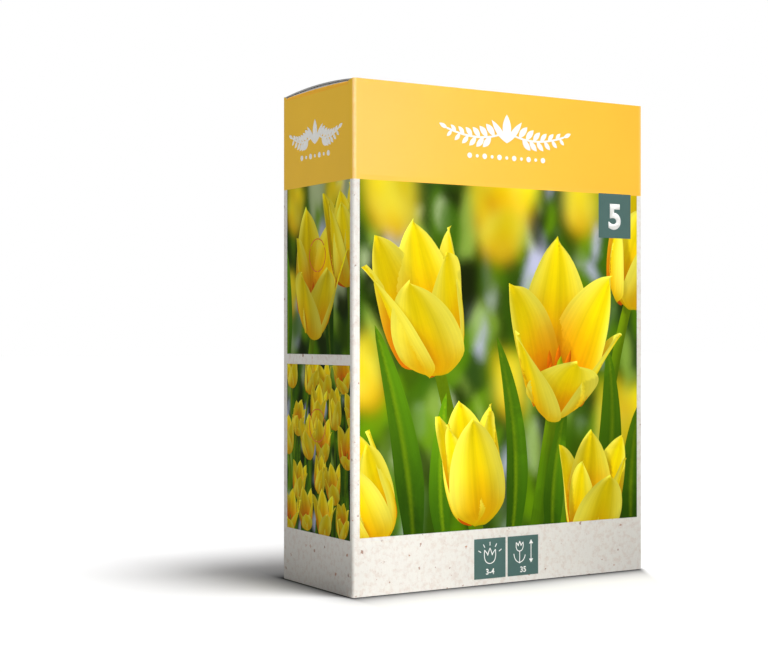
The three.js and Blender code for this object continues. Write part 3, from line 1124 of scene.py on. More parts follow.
def petal_outside(u, v):
    body = blend_inks(ease(abs(v), 0.1, 0.95) * ease(u, 0.1, 0.4), GOLD, LEMON)
    flame = math.exp(-((v / (0.24 + 1.6 * (1 - u) ** 3)) ** 2)) * (1 - ease(u, 0.2, 0.8))
    return blend_inks((1 - ease(u, 0.0, 0.16)) * 0.5, blend_inks(flame * 0.75, body, AMBER), LIME)


def petal_inside(u, v):
    body = blend_inks(ease(u, 0.25, 0.8), AMBER, blend_inks(ease(abs(v), 0.2, 1.0), GOLD, LEMON))
    return blend_inks(1 - ease(u, 0.05, 0.34), body, DEEP)


def place_rows(rows, turn, place):
    return [[turn @ point + place for point in row] for row in rows]


print("a petal of the front picture has", FINE_PETAL[0] * FINE_PETAL[1], "cells")


# %% Stems
def along_line(line):
    """For each point of a line: its share of the way, itself, the way ahead and the way to the side."""
    for i, point in enumerate(line):
        ahead = (line[min(i + 1, len(line) - 1)] - line[max(i - 1, 0)]).normalized()
        yield i / (len(line) - 1), point, ahead, ahead.cross(UP_CLOSE).normalized()


def tube_rows(line, radius, sides):
    """Rings of points round a line that lies roughly upright."""
    rows = []
    for u, point, ahead, side in along_line(line):
        up = side.cross(ahead)
        turns = [2 * math.pi * j / sides for j in range(sides + 1)]
        rows.append([point + side * radius(u) * math.cos(a) + up * radius(u) * math.sin(a) for a in turns])
    return rows


def bezier(a, b, c, steps):
    return [a.lerp(b, i / steps).lerp(b.lerp(c, i / steps), i / steps) for i in range(steps + 1)]


print("half way along a bent line:", bezier(Vector((0, 0)), Vector((0, 1)), Vector((2, 2)), 2)[1])


# %% Blooms and blades
def add_heart(subject, turn, place, length):
    """Six stamens round a pistil."""
    for number in range(7):
        pistil = number == 6
        around = math.radians(60 * number)
        reach = 0.0 if pistil else 0.1 * length
        base = Vector((reach * 0.4 * math.cos(around), 0.08 * length, reach * 0.4 * math.sin(around)))
        tip = Vector((reach * math.cos(around), 0.46 * length, reach * math.sin(around)))
        line = [turn @ base.lerp(tip, i / 6) + place for i in range(7)]
        size = (0.034 if pistil else 0.026) * length
        inks = (lambda u, v: LIME) if pistil else (lambda u, v: DEEP if u > 0.45 else LIME)
        rows = tube_rows(line, lambda u: size * (1.0 if u > 0.4 else 0.5) * (1.001 - u ** 6), 7)
        subject.add(rows, inks, inks, HEART)


def add_flower(subject, draw, place, length, lean, tilt, turned, open_degrees, foot, fine=True):
    """One bloom: lean is sideways, tilt is towards the viewer, and the foot is where its stem leaves."""
    turn = (Matrix.Rotation(math.radians(-lean), 3, "Z") @ Matrix.Rotation(math.radians(tilt), 3, "X")
            @ Matrix.Rotation(math.radians(turned), 3, "Y"))
    place, foot = Vector(place), Vector(foot)
    detail = FINE_PETAL if fine else SOFT_PETAL
    for number in range(6):
        swing = draw.uniform(-1.0, 1.0)
        rows = petal_rows(math.radians(60 * number), length * draw.uniform(0.95, 1.04),
                          open_degrees + 5 * swing, number % 2 == 1, detail, swing)
        subject.add(place_rows(rows, turn, place), petal_inside, petal_outside, PETAL)
    if fine:
        add_heart(subject, turn, place, length)
    top = turn @ Vector((0, 1, 0))
    line = bezier(place + top * 0.02 * length, place - top * 0.5 * (place - foot).length, foot,
                  16 if fine else 7)
    thick = 0.042 * length

    def green(u, v):
        return blend_inks(ease(u, 0.0, 0.5), blend_inks(0.3, STEM_GREEN, LIME), STEM_GREEN)

    subject.add(tube_rows(line, lambda u: thick * (1 + 0.25 * u), 9 if fine else 5), green, green, GREEN)


def add_blade(subject, foot, bend, tip, half, twist):
    """A long leaf along a bent line, folded a little along its middle."""
    rows = []
    for u, point, ahead, side in along_line(bezier(Vector(foot), Vector(bend), Vector(tip), 22)):
        turn = Matrix.Rotation(math.radians(twist * (0.3 + u)), 3, ahead)
        side, up = turn @ side, turn @ side.cross(ahead)
        size = half * (0.55 + 0.45 * ease(u, 0.0, 0.4)) * (1 - u ** 2.6) ** 0.7 + 0.02
        rows.append([point + side * size * v + up * size * 0.42 * (abs(v) - 0.5)
                     for v in (j / 4 - 1 for j in range(9))])

    def green(u, v):
        rib = math.exp(-((v / 0.12) ** 2)) * 0.5
        return blend_inks(rib, blend_inks(ease(u, 0.1, 0.9), BLADE_DARK, BLADE_LIGHT), LIME)

    subject.add(rows, green, lambda u, v: blend_inks(0.35, green(u, v), BLADE_LIGHT), GREEN)


print("a bloom of the front picture has", 6 * FINE_PETAL[0] * FINE_PETAL[1], "petal cells")

# %% [markdown]
# ## What lies out of focus
# Behind the sharp flowers, a photograph of a flower bed melts into soft patches. Two layers give that.
# The far one is a sum of soft strokes in greens, greys and lilac. The near one is a row of blooms that
# are pictured on a coarse grid and blurred, with their coverage blurred alongside.

# %% Soft backdrop
def blurred(grid, sigma):
    reach = int(3 * sigma) + 1
    bell = np.exp(-(np.arange(-reach, reach + 1) ** 2) / (2 * sigma ** 2))
    bell /= bell.sum()
    for axis in (0, 1):
        pad = [(reach, reach) if a == axis else (0, 0) for a in range(grid.ndim)]
        grid = np.apply_along_axis(np.convolve, axis, np.pad(grid, pad, mode="edge"), bell, "valid")
    return grid


class Backdrop:
    """Colours on a coarse grid over the picture, read smoothly in between."""

    cell = 1.0

    def __init__(self, wide, tall):
        self.wide, self.tall = wide, tall
        self.x = (np.arange(int(wide / self.cell) + 2)) * self.cell
        self.y = (np.arange(int(tall / self.cell) + 2)) * self.cell
        self.colour = np.zeros((len(self.y), len(self.x), 3))

    def strokes(self, draw, ground, inks, count, size):
        """Soft strokes, mostly upright, each in one of the inks."""
        self.colour[:] = ground
        across, up = np.meshgrid(self.x, self.y)
        for _ in range(count):
            middle_x, middle_y = draw.uniform(0, self.wide), draw.uniform(0, self.tall)
            lean = draw.gauss(0.0, 0.35)
            long, short = size * draw.uniform(0.9, 2.6), size * draw.uniform(0.35, 0.9)
            dx, dy = across - middle_x, up - middle_y
            side = dx * math.cos(lean) + dy * math.sin(lean)
            rise = dy * math.cos(lean) - dx * math.sin(lean)
            cover = np.clip(1.5 - ((side / short) ** 2 + (rise / long) ** 2), 0, 1)[..., None] * 0.85
            self.colour = self.colour * (1 - cover) + np.array(draw.choice(inks)) * cover
        self.colour = blurred(self.colour, size * 0.17 / self.cell)

    def lay(self, subject, sigma):
        """A blurred view of the subject over what is there."""
        seen = np.zeros((*self.colour.shape[:2], 4))
        for row, y in enumerate(self.y):
            for column, x in enumerate(self.x):
                found = look(subject, x, y)
                if found:
                    seen[row, column] = (*found[1], 1.0)
        seen = blurred(seen, sigma / self.cell)
        self.colour = self.colour * (1 - seen[..., 3:]) + seen[..., :3]

    def at(self, x, y):
        column, row = min(max(x, 0), self.wide) / self.cell, min(max(y, 0), self.tall) / self.cell
        i, j = int(column), int(row)
        s, t = column - i, row - j
        low = self.colour[j, i] * (1 - s) + self.colour[j, i + 1] * s
        high = self.colour[j + 1, i] * (1 - s) + self.colour[j + 1, i + 1] * s
        return Vector(low * (1 - t) + high * t)


BED_INKS = [ink(44, 60, 4), ink(66, 96, 6), ink(98, 138, 8), ink(36, 46, 4), ink(78, 116, 12),
            ink(58, 80, 6), ink(150, 176, 84), ink(178, 190, 150), ink(192, 194, 216), ink(114, 152, 14)]
print("backdrop inks:", len(BED_INKS))

# %% [markdown]
# ## From the view to a printed sheet
# The sheet is a Delaunay mesh. Its fixed edges are the picture's border and every outline that shows,
# and scattered points in between let the colours change smoothly. Operators can't draw such a mesh,
# so it is built from its data. Colours sit on the corners of the faces and not on the points, because
# two forms that meet along an outline have different colours there.

# %% Outlines that show
BESIDE, STEP_BACK = 0.06, 0.8   # in mm: how far beside a line the view is read, and what counts as a step
SAME_POINT = 1e-4


def visible_lines(subject, wide, tall):
    """The outlines across which the view changes from one form, or one depth, to another."""
    kept = []
    for a, b in subject.lines:
        middle, along = (a + b) / 2, b - a
        if along.length < SAME_POINT or not (-1 < middle.x < wide + 1 and -1 < middle.y < tall + 1):
            continue
        across = Vector((-along.y, along.x)).normalized() * BESIDE
        seen = []
        for spot in (middle + across, middle - across):
            point, index = subject.hit(spot.x, spot.y)
            seen.append((None, 0.0) if index is None else (subject.form(index), point.z))
        if seen[0][0] != seen[1][0] or abs(seen[0][1] - seen[1][1]) > STEP_BACK:
            kept.append((a, b))
    return kept


def scattered(draw, wide, tall, spacing, wanted):
    points, rows, columns = [], int(tall / spacing), int(wide / spacing)
    for row in range(rows):
        for column in range(columns):
            x = (column + 0.5 + 0.3 * draw.uniform(-1, 1) + 0.25 * (-1) ** row) * wide / columns
            y = (row + 0.5 + 0.3 * draw.uniform(-1, 1)) * tall / rows
            if 0.2 < x < wide - 0.2 and wanted(x, y):
                points.append(Vector((x, y)))
    return points


def border(wide, tall, spacing):
    sides, up = round(wide / spacing), round(tall / spacing)
    low = [Vector((wide * i / sides, 0)) for i in range(sides)]
    right = [Vector((wide, tall * i / up)) for i in range(up)]
    return low + right + [Vector((wide, tall)) - p for p in low] + [Vector((wide, tall)) - p for p in right]


print("points on the border of a 10 mm square:", len(border(10, 10, 2.0)))


# %% Sheet of a picture
def picture_sheet(name, subject, backdrop, wide, tall, draw, fine):
    """A flat mesh in the XY plane, in metres, with the picture in its colour attribute."""
    def on_form(x, y):
        return subject.hit(x, y)[1] is not None

    ring = border(wide, tall, 2.0)
    points = list(ring)
    edges = [(i, (i + 1) % len(ring)) for i in range(len(ring))]
    for a, b in visible_lines(subject, wide, tall):
        edges.append((len(points), len(points) + 1))
        points += [a, b]
    points += scattered(draw, wide, tall, fine, on_form)
    points += scattered(draw, wide, tall, 2 * fine, lambda x, y: not on_form(x, y))
    corners, _, faces, *_ = delaunay_2d_cdt(points, edges, [], 0, SAME_POINT, False)

    def within(face):
        x, y = (sum(corners[i][axis] for i in face) / 3 for axis in (0, 1))
        return 0 < x < wide and 0 < y < tall

    inside = [face for face in faces if within(face)]
    used = sorted({i for face in inside for i in face})
    place_of = {old: new for new, old in enumerate(used)}
    mesh = bpy.data.meshes.new(name)
    mesh.from_pydata([(corners[i].x * MM, corners[i].y * MM, 0.0) for i in used], [],
                     [[place_of[i] for i in face] for face in inside])
    colours, places, known = [], [], {}
    for face in inside:
        middle = (corners[face[0]] + corners[face[1]] + corners[face[2]]) / 3
        here = look(subject, middle.x, middle.y)
        for i in face:
            key = (i, here and here[0])
            if key not in known:
                known[key] = corner_colour(subject, backdrop, corners[i], middle, here)
            colours += [*known[key][0], 1.0]
            places += [*known[key][1]]
    mesh.attributes.new("print_colour", "FLOAT_COLOR", "CORNER").data.foreach_set("color", colours)
    mesh.attributes.new("print_place", "FLOAT_VECTOR", "CORNER").data.foreach_set("vector", places)
    sheet = bpy.data.objects.new(name, mesh)
    bpy.context.scene.collection.objects.link(sheet)
    print(name, "faces:", len(inside))
    return sheet


def corner_colour(subject, backdrop, corner, middle, here):
    if here is None:
        return backdrop.at(*corner), (corner.x, corner.y, 0.0)
    for share in (0.04, 0.3):
        spot = corner.lerp(middle, share)
        found = look(subject, *spot)
        if found and found[0] == here[0]:
            return found[1], found[2]
    return here[1], here[2]


def printed_bed(name, size, sharp, draw, ground, strokes, spacing, near=None, blur=0.0):
    """One sheet with the sharp forms, the blurred ones behind them and the strokes behind these."""
    backdrop = Backdrop(*size)
    backdrop.strokes(draw, ground, BED_INKS, *strokes)
    if near:
        backdrop.lay(near.ready(), blur)
    return picture_sheet(name, sharp.ready(), backdrop, *size, draw, spacing)


print("spacing of the border's points in mm:", (border(10, 10, 2.0)[1] - border(10, 10, 2.0)[0]).length)

# %% [markdown]
# ## Laying a print on its panel
# A sheet is drawn flat, with its lower left corner at the origin. One matrix per panel stands it up and
# moves it there. It is closed below, so that it is a solid piece, and its underside reaches a little
# into the board, so that no gap shows between them.

# %% Laying on
PICTURE_TOP, SUNK = 0.04 * MM, 0.02 * MM    # how far prints stand proud of the board, and reach into it


def panel_place(panel, left, foot):
    """Where a sheet's lower left corner goes, in mm from the left end and the foot of a panel."""
    turns = {"front": (0, (left_x, front_y)), "left": (-90, (left_x, back_y)),
             "right": (90, (right_x, front_y)), "back": (180, (right_x, back_y))}
    angle, (corner_x, corner_y) = turns[panel]
    upright = Matrix.Rotation(math.radians(angle), 4, "Z") @ Matrix.Rotation(math.pi / 2, 4, "X")
    corner = Matrix.Translation((corner_x, corner_y, 0))
    return corner @ upright @ Matrix.Translation((left * MM, foot * MM, 0))


def lay_on(sheet, panel, left, foot):
    sheet.data.transform(panel_place(panel, left, foot))
    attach(sheet, "carton")


def stick_on(sheet, panel, left, foot, material):
    """Closes a picture's sheet below, and lays it on a panel."""
    take(sheet)
    sheet.data.materials.append(material)
    sheet.data.transform(Matrix.Translation((0, 0, PICTURE_TOP)))
    bpy.ops.object.mode_set(mode="EDIT")
    bpy.ops.mesh.select_all(action="SELECT")
    bpy.ops.mesh.region_to_loop()
    bpy.ops.mesh.extrude_edges_move(TRANSFORM_OT_translate={"value": (0, 0, -PICTURE_TOP - SUNK)})
    bpy.ops.mesh.edge_face_add()
    face_outwards()
    bpy.ops.object.mode_set(mode="OBJECT")
    lay_on(sheet, panel, left, foot)


print("a picture stands proud by", round(PICTURE_TOP / MM, 3), "mm")

# %% [markdown]
# ## Printed ink
# The sheet's colours are its own. The finish adds what a petal has and the mesh is too coarse for, the
# fine veins that run from stem to tip. The front sheet runs on past the band's foot, as a print's
# bleed does, so its top edge takes the band's ink and sheen.

# %% Picture finish
def make_picture_print():
    finish = Finish("picture_print")
    colour = finish.attribute("print_colour")
    u, v, kind = finish.split(finish.attribute("print_place"))
    on_form = finish.ease(kind, 0.4, 0.6)
    veins = finish.noise(finish.join(v * 13.0, u * 1.1, kind * 5.0), 1.0, 3.0, 0.65)
    wide_veins = finish.noise(finish.join(v * 4.0, u * 0.8, kind * 9.0), 1.0, 2.0)
    vein_light = 1.1 + on_form * ((veins - 0.5) * 0.3 + (wide_veins - 0.5) * 0.25)
    deep = finish.node("ShaderNodeGamma", sockets={"Color": colour, "Gamma": 1.25})
    colour = finish.shade(deep, vein_light)
    place = finish.place()
    z = finish.split(place)[2]
    in_band = above_band_foot(finish, z)
    colour = finish.mix(in_band, colour, uneven(finish, place, band_yellow))
    finish.plug(finish.shader.inputs["Coat Weight"], in_band * 0.8)
    return finish.done(colour, 0.6, board_grain(finish, place, 0.00002), Specular_IOR_Level=0.03,
                       Coat_Roughness=0.4)


picture_print = make_picture_print()
print("picture finish nodes:", len(picture_print.node_tree.nodes))

# %% [markdown]
# ## The front picture
# Six sharp blooms at different heights, each turned its own way, with blades between their stems and
# a row of soft blooms behind. The widest one is open and shows its amber heart and its stamens.

# %% Front picture
PICTURE_LEFT, PICTURE_FOOT = 2.85, 20.4
FRONT_WIDE, FRONT_TALL = 124.55, BAND_FOOT - PICTURE_FOOT + 1.6


def front_picture():
    draw = random.Random(4)
    sharp = Subject()
    for flower in (     # place, length, lean, tilt, turn, opening, and the foot of its stem
            ((33, 58, 0), 57, -15, 30, 20, 12, (52, -12, -10)),
            ((84, 44, 20), 60, 11, 46, -14, 26, (74, -14, 0)),
            ((50, 2, 40), 45, -8, 16, 40, 3, (54, -30, 30)),
            ((120, 82, -6), 52, 18, 24, 75, 10, (104, -12, -10)),
            ((8, -2, 20), 42, -20, 20, 8, 4, (14, -30, 16)),
            ((100, -8, 44), 43, 10, 30, 52, 14, (98, -40, 40))):
        add_flower(sharp, draw, *flower)
    for blade in (      # foot, bend, tip, half its width and its twist
            ((22, -8, 0), (22, 30, 14), (6, 74, 20), 6.5, 20),
            ((104, -8, 6), (116, 26, 14), (110, 66, 0), 7, -25),
            ((64, -8, -8), (72, 30, -4), (58, 70, -14), 5.5, 30),
            ((84, -8, 24), (82, 16, 30), (90, 44, 30), 5, 15),
            ((36, -8, 14), (30, 20, 20), (36, 50, 10), 5, -35),
            ((122, -8, 30), (120, 20, 30), (126, 44, 26), 6, 10)):
        add_blade(sharp, *blade)
    near = Subject()
    for place, *shape in (
            ((16, 104, -60), 34, -10, 20, 0, 14), ((58, 98, -60), 38, 8, 34, 40, 24),
            ((97, 108, -60), 30, 4, 22, 10, 10), ((112, 22, -50), 34, 14, 30, 60, 18),
            ((66, 40, -60), 26, -6, 20, 20, 8), ((6, 44, -60), 30, -20, 10, 20, 8)):
        add_flower(near, draw, place, *shape, (place[0] + 4, -20, -70), fine=False)
    return printed_bed("front_picture", (FRONT_WIDE, FRONT_TALL), sharp, draw, ink(62, 88, 32), (230, 6.0),
                       0.75, near, 2.4)


stick_on(front_picture(), "front", PICTURE_LEFT, PICTURE_FOOT, picture_print)

# %% [markdown]
# ## The side pictures
# Each narrow side has two pictures, one above the other. The upper one is a close view of a bloom and
# a bud, and the lower one looks down on a bed full of them. The right side has a copy of each.

# %% Side pictures
SIDE_WIDE, UPPER_TALL, LOWER_TALL = 46.83, 61.0, 60.8
SIDE_MARGIN, UPPER_FOOT, LOWER_FOOT = 3.43, 84.0, 19.5


def upper_picture():
    draw = random.Random(11)
    sharp = Subject()
    add_flower(sharp, draw, (20, 8, 0), 44, 8, 38, 0, 22, (12, -20, -10))
    add_flower(sharp, draw, (46, 24, 8), 36, -10, 14, 30, 4, (40, -20, 0))
    add_blade(sharp, (34, -6, -8), (28, 24, 0), (38, 56, -6), 3.6, 25)
    add_blade(sharp, (0, -6, 4), (2, 20, 6), (-2, 44, 6), 4, -20)
    near = Subject()
    for place, length, turned in (((6, 44, -50), 20, 0), ((34, 46, -50), 18, 40), ((2, 14, -50), 18, 20)):
        add_flower(near, draw, place, length, 6, 26, turned, 16, (place[0] + 3, -20, -60), fine=False)
    return printed_bed("upper_picture", (SIDE_WIDE, UPPER_TALL), sharp, draw, ink(54, 80, 32), (70, 5.0),
                       0.6, near, 1.5)


def lower_picture():
    draw = random.Random(23)
    sharp = Subject()
    for row, y in enumerate((50, 38, 26, 14, 1)):
        for column in range(4):
            x = 2 + 13.6 * column + 6.8 * (row % 2) + draw.uniform(-2, 2)
            place = (x, y + draw.uniform(-2.5, 2.5), -32 + 9 * row)
            foot = (x + draw.uniform(-5, 5), place[1] - 45, place[2] - 6)
            shape = [draw.uniform(*span) for span in ((13.5, 16.5), (-18, 18), (14, 50), (0, 90), (6, 28))]
            add_flower(sharp, draw, place, *shape, foot)
    for _ in range(12):
        x, y = draw.uniform(0, 47), draw.uniform(-6, 22)
        add_blade(sharp, (x, y - 12, -22), (x + draw.uniform(-4, 4), y + 8, -18),
                  (x + draw.uniform(-7, 7), y + 28, -24), draw.uniform(1.4, 2.2), draw.uniform(-30, 30))
    return printed_bed("lower_picture", (SIDE_WIDE, LOWER_TALL), sharp, draw, ink(40, 62, 22), (120, 3.0),
                       0.55)


for sheet, foot in ((upper_picture(), UPPER_FOOT), (lower_picture(), LOWER_FOOT)):
    twin = sheet.copy()
    twin.data = sheet.data.copy()
    bpy.context.scene.collection.objects.link(twin)
    sheet.name, twin.name = f"left_{sheet.name}", f"right_{sheet.data.name}"
    stick_on(sheet, "left", SIDE_MARGIN, foot, picture_print)
    stick_on(twin, "right", SIDE_MARGIN, foot, picture_print)

# %% [markdown]
# ## Flat printed shapes
# Badges, ornaments and signs are flat shapes in one ink. Each is drawn as a set of outlines that may
# overlap, such as strokes, rings and leaves, and the Delaunay fill joins them in one sheet. Figures
# come from a text object that is made a mesh. Each sheet lies a little proud of what it is printed on.

# %% Inks
PLATE_TOP, SIGN_TOP = 0.08 * MM, 0.11 * MM      # how far each layer of print stands proud of the board
SPROUT_TOP, BULB_TOP, ARROW_TOP = 0.13 * MM, 0.15 * MM, 0.16 * MM


def make_ink(name, colour, worn):
    finish = Finish(name)
    place = finish.place()
    rubbed = finish.ease(finish.noise(place, 1.4, 4.0, 0.7), 0.62, 0.8)
    shade = finish.noise(place, 0.4, 3.0) * 0.12 + 0.94
    body = finish.mix(rubbed * worn, finish.shade(colour, shade), board_white)
    return finish.done(body, 0.5, board_grain(finish, place, 0.00002), Specular_IOR_Level=0.25)


badge_green = make_ink("badge_green", rgb(70, 100, 95), 0.1)
white_ink = make_ink("white_ink", rgb(240, 240, 236), 0.08)
cut_orange = make_ink("cut_line", rgb(214, 96, 30), 0.1)
leaf_ink = make_ink("leaf_ink", rgb(96, 132, 70), 0.1)
soil_ink = make_ink("soil_ink", rgb(142, 112, 86), 0.12)
bulb_ink = make_ink("bulb_ink", rgb(196, 142, 78), 0.1)
print("inks:", [material.name for material in bpy.data.materials if "ink" in material.name])


# %% Outlines
def disc(x, y, radius, steps=28):
    return [(x + radius * math.cos(2 * math.pi * i / steps), y + radius * math.sin(2 * math.pi * i / steps))
            for i in range(steps)]


def plate(x0, y0, x1, y1, corner=0.0):
    if not corner:
        return [(x0, y0), (x1, y0), (x1, y1), (x0, y1)]
    centres = ((x1 - corner, y1 - corner), (x0 + corner, y1 - corner), (x0 + corner, y0 + corner),
               (x1 - corner, y0 + corner))
    return [(x + corner * math.cos(math.pi / 2 * (quarter + i / 6)),
             y + corner * math.sin(math.pi / 2 * (quarter + i / 6)))
            for quarter, (x, y) in enumerate(centres) for i in range(7)]


def stroke(points, wide):
    """A line of even width through the points, as one outline for each stretch, and a round end."""
    shapes = [disc(*point, wide / 2, 12) for point in points]
    for (x0, y0), (x1, y1) in zip(points, points[1:]):
        if math.hypot(x1 - x0, y1 - y0) < 0.01:
            continue
        along = Vector((x1 - x0, y1 - y0)).normalized() * wide / 2
        shapes.append([(x0 + along.y, y0 - along.x), (x1 + along.y, y1 - along.x),
                       (x1 - along.y, y1 + along.x), (x0 - along.y, y0 + along.x)])
    return shapes


def curve(start, bend, end, steps=10):
    return [tuple(point) for point in bezier(Vector(start), Vector(bend), Vector(end), steps)]


def leaf(base, tip, wide, bow=0.0):
    """A pointed leaf from base to tip, bowed to one side."""
    a, b = Vector(base), Vector(tip)
    side = Vector((a.y - b.y, b.x - a.x)).normalized()
    middle = (a + b) / 2 + side * bow
    left = curve(a, middle + side * wide, b)
    right = curve(b, middle - side * wide, a)
    return left + right[1:-1]


def arrow(start, end, wide, head):
    """A line with a head at both ends."""
    a, b = Vector(start), Vector(end)
    along = (b - a).normalized() * head
    side = Vector((-along.y, along.x)) * 0.62
    shapes = stroke([tuple(a + along * 0.8), tuple(b - along * 0.8)], wide)
    for tip, back in ((a, along), (b, -along)):
        shapes.append([tuple(tip), tuple(tip + back + side), tuple(tip + back - side)])
    return shapes


def ring(x, y, radius, wide, start=0.0, end=360.0, steps=36):
    turns = [math.radians(start + (end - start) * i / steps) for i in range(steps + 1)]
    outer, inner = ([(x + reach * math.cos(turn), y + reach * math.sin(turn)) for turn in turns]
                    for reach in (radius + wide / 2, radius - wide / 2))
    return [[outer[i], outer[i + 1], inner[i + 1], inner[i]] for i in range(steps)]


print("points of a leaf:", len(leaf((0, 0), (0, 5), 1.0)))


# %% Filling and printing
def holds(outline, x, y):
    """Whether a closed outline has the point inside."""
    inside = False
    for (x0, y0), (x1, y1) in zip(outline, outline[1:] + outline[:1]):
        if (y0 > y) != (y1 > y) and x < x0 + (y - y0) * (x1 - x0) / (y1 - y0):
            inside = not inside
    return inside


def flat_shape(name, shapes):
    """Fills the outlines, in mm, as one mesh in the XY plane."""
    points, edges = [], []
    for shape in shapes:
        first_index = len(points)
        points += [Vector(point) for point in shape]
        edges += [(first_index + i, first_index + (i + 1) % len(shape)) for i in range(len(shape))]
    corners, _, triangles, *_ = delaunay_2d_cdt(points, edges, [], 0, SAME_POINT, False)
    extents = [(min(p[0] for p in shape), max(p[0] for p in shape),
                min(p[1] for p in shape), max(p[1] for p in shape)) for shape in shapes]
    kept = []
    for triangle in triangles:
        x, y = (sum(corners[index][axis] for index in triangle) / 3 for axis in (0, 1))
        if any(x0 < x < x1 and y0 < y < y1 and holds(shape, x, y)
               for shape, (x0, x1, y0, y1) in zip(shapes, extents)):
            kept.append(triangle)
    mesh = bpy.data.meshes.new(name)
    mesh.from_pydata([(corner.x * MM, corner.y * MM, 0.0) for corner in corners], [], kept)
    sheet = bpy.data.objects.new(name, mesh)
    bpy.context.scene.collection.objects.link(sheet)
    return sheet


def figures(name, text, size, middle, bold):
    """Plain figures as a flat mesh, centred over a point, in mm."""
    start_fresh()
    bpy.ops.object.text_add()
    words = bpy.context.object.data
    words.body = text
    words.size = size * MM
    words.offset = bold * size * MM
    words.align_x = "CENTER"
    words.resolution_u = 6
    bpy.ops.object.convert(target="MESH")
    sheet = named(name)
    sheet.data.materials.clear()
    settle_mesh(sheet, Matrix.Identity(4), (middle[0] * MM, middle[1] * MM, 0.0))
    return sheet


def print_on(sheet, place, material, top):
    """Gives a flat sheet its thickness and lays it on. Place is a panel, and left and foot in mm."""
    take(sheet)
    sheet.data.materials.append(material)
    bpy.ops.object.mode_set(mode="EDIT")
    bpy.ops.mesh.select_all(action="SELECT")
    bpy.ops.mesh.remove_doubles(threshold=0.001 * MM)
    bpy.ops.mesh.delete_loose()
    face_outwards()
    bpy.ops.object.mode_set(mode="OBJECT")
    if sum(face.normal.z * face.area for face in sheet.data.polygons) < 0:
        sheet.data.flip_normals()
    sheet.data.transform(Matrix.Translation((0, 0, top)))
    modified(sheet, "SOLIDIFY", thickness=top + SUNK, offset=-1.0)
    lay_on(sheet, *place)
    print(sheet.name, "faces:", len(sheet.data.polygons))


def print_shapes(name, shapes, place, material, top=SIGN_TOP):
    print_on(flat_shape(name, shapes), place, material, top)


def print_figures(name, text, size, middle, place, material, top=SIGN_TOP, bold=0.02):
    print_on(figures(name, text, size, middle, bold), place, material, top)


print("the middle of a square is inside it:", holds(plate(0, 0, 2, 2), 1, 1))

# %% [markdown]
# ## The badges
# A count badge hangs from the yellow band at the picture's right end, and says how many bulbs there
# are. Two small ones at the foot say when the flower blooms and how tall it grows. These two have a
# line drawing of their own, and all three have plain figures.

# %% Badges
COUNT_LEFT, COUNT_WIDE, COUNT_TALL = 108.5, 15.7, 17.0
SMALL_LEFTS, SMALL_FOOT, SMALL_WIDE, SMALL_TALL = (50.9, 65.8), 2.2, 13.9, 14.6
LINE = 0.32


def open_bloom(x, y, size):
    """A tulip in outline, seen from the side."""
    bends = ((0, 0), (0.62, 0.05), (0.48, 1), (0.2, 0.72), (0.2, 0.62), (0.1, 0.95), (0, 1.12))
    points = [(x - size * across, y + size * up) for across, up in bends]
    half = [point for i in (0, 2, 4) for point in curve(*points[i:i + 3])]
    other_half = [(2 * x - px, py) for px, py in half]
    return stroke(half, LINE) + stroke(other_half, LINE)


def growing_bloom(flower, stem_foot, leaves, arrow_line, wide, head):
    """A bloom on its stem with two leaves, and an arrow that shows its height."""
    x, y, _ = flower
    shapes = open_bloom(*flower) + stroke([(x, y), (x, stem_foot)], wide)
    for bend, tip in leaves:
        shapes += stroke(curve((x, stem_foot + 0.2), bend, tip), wide)
    arrow_x, low_end, high_end = arrow_line
    return shapes + arrow((arrow_x, low_end), (arrow_x, high_end), wide, head)


def rays_round(middle, turns, near_end, far_end, wide):
    """Short strokes that point away from the middle."""
    shapes = []
    for turn in turns:
        ray = Vector((math.cos(math.radians(turn)), math.sin(math.radians(turn))))
        shapes += stroke([tuple(Vector(middle) + ray * reach) for reach in (near_end, far_end)], wide)
    return shapes


count_place = ("front", COUNT_LEFT, BAND_FOOT - COUNT_TALL)
season_place, growth_place = (("front", left, SMALL_FOOT) for left in SMALL_LEFTS)
print_shapes("count_badge", [plate(0, 0, COUNT_WIDE, COUNT_TALL)],
             ("front", COUNT_LEFT, BAND_FOOT - COUNT_TALL + 0.2), badge_green, PLATE_TOP)
print_figures("count_figure", "5", 13.0, (COUNT_WIDE / 2, 4.0), count_place, white_ink, bold=0.035)
for word, place in (("season", season_place), ("growth", growth_place)):
    print_shapes(f"{word}_badge", [plate(0, 0, SMALL_WIDE, SMALL_TALL)], place, badge_green, PLATE_TOP)

season_lines = open_bloom(SMALL_WIDE / 2, 5.4, 5.0)
season_lines += rays_round((SMALL_WIDE / 2, 7.4), range(30, 151, 30), 4.7, 5.8, LINE)
print_shapes("season_sign", season_lines, season_place, white_ink)
print_figures("season_figures", "3-4", 2.9, (SMALL_WIDE / 2, 1.5), season_place, white_ink)
growth_lines = growing_bloom((5.4, 9.0, 3.2), 4.6, (((3.2, 5.2), (2.8, 8.0)), ((7.4, 5.2), (7.9, 7.4))),
                             (10.6, 4.4, 13.0), LINE, 1.5)
print_shapes("growth_sign", growth_lines, growth_place, white_ink)
print_figures("growth_figures", "35", 2.9, (SMALL_WIDE / 2, 1.2), growth_place, white_ink)

# %% [markdown]
# ## Ornaments on the band
# The band carries a white garland on all four sides: leaves on a stem, mirrored about a bloom, with a
# row of dots below. The narrow sides have a shorter one.

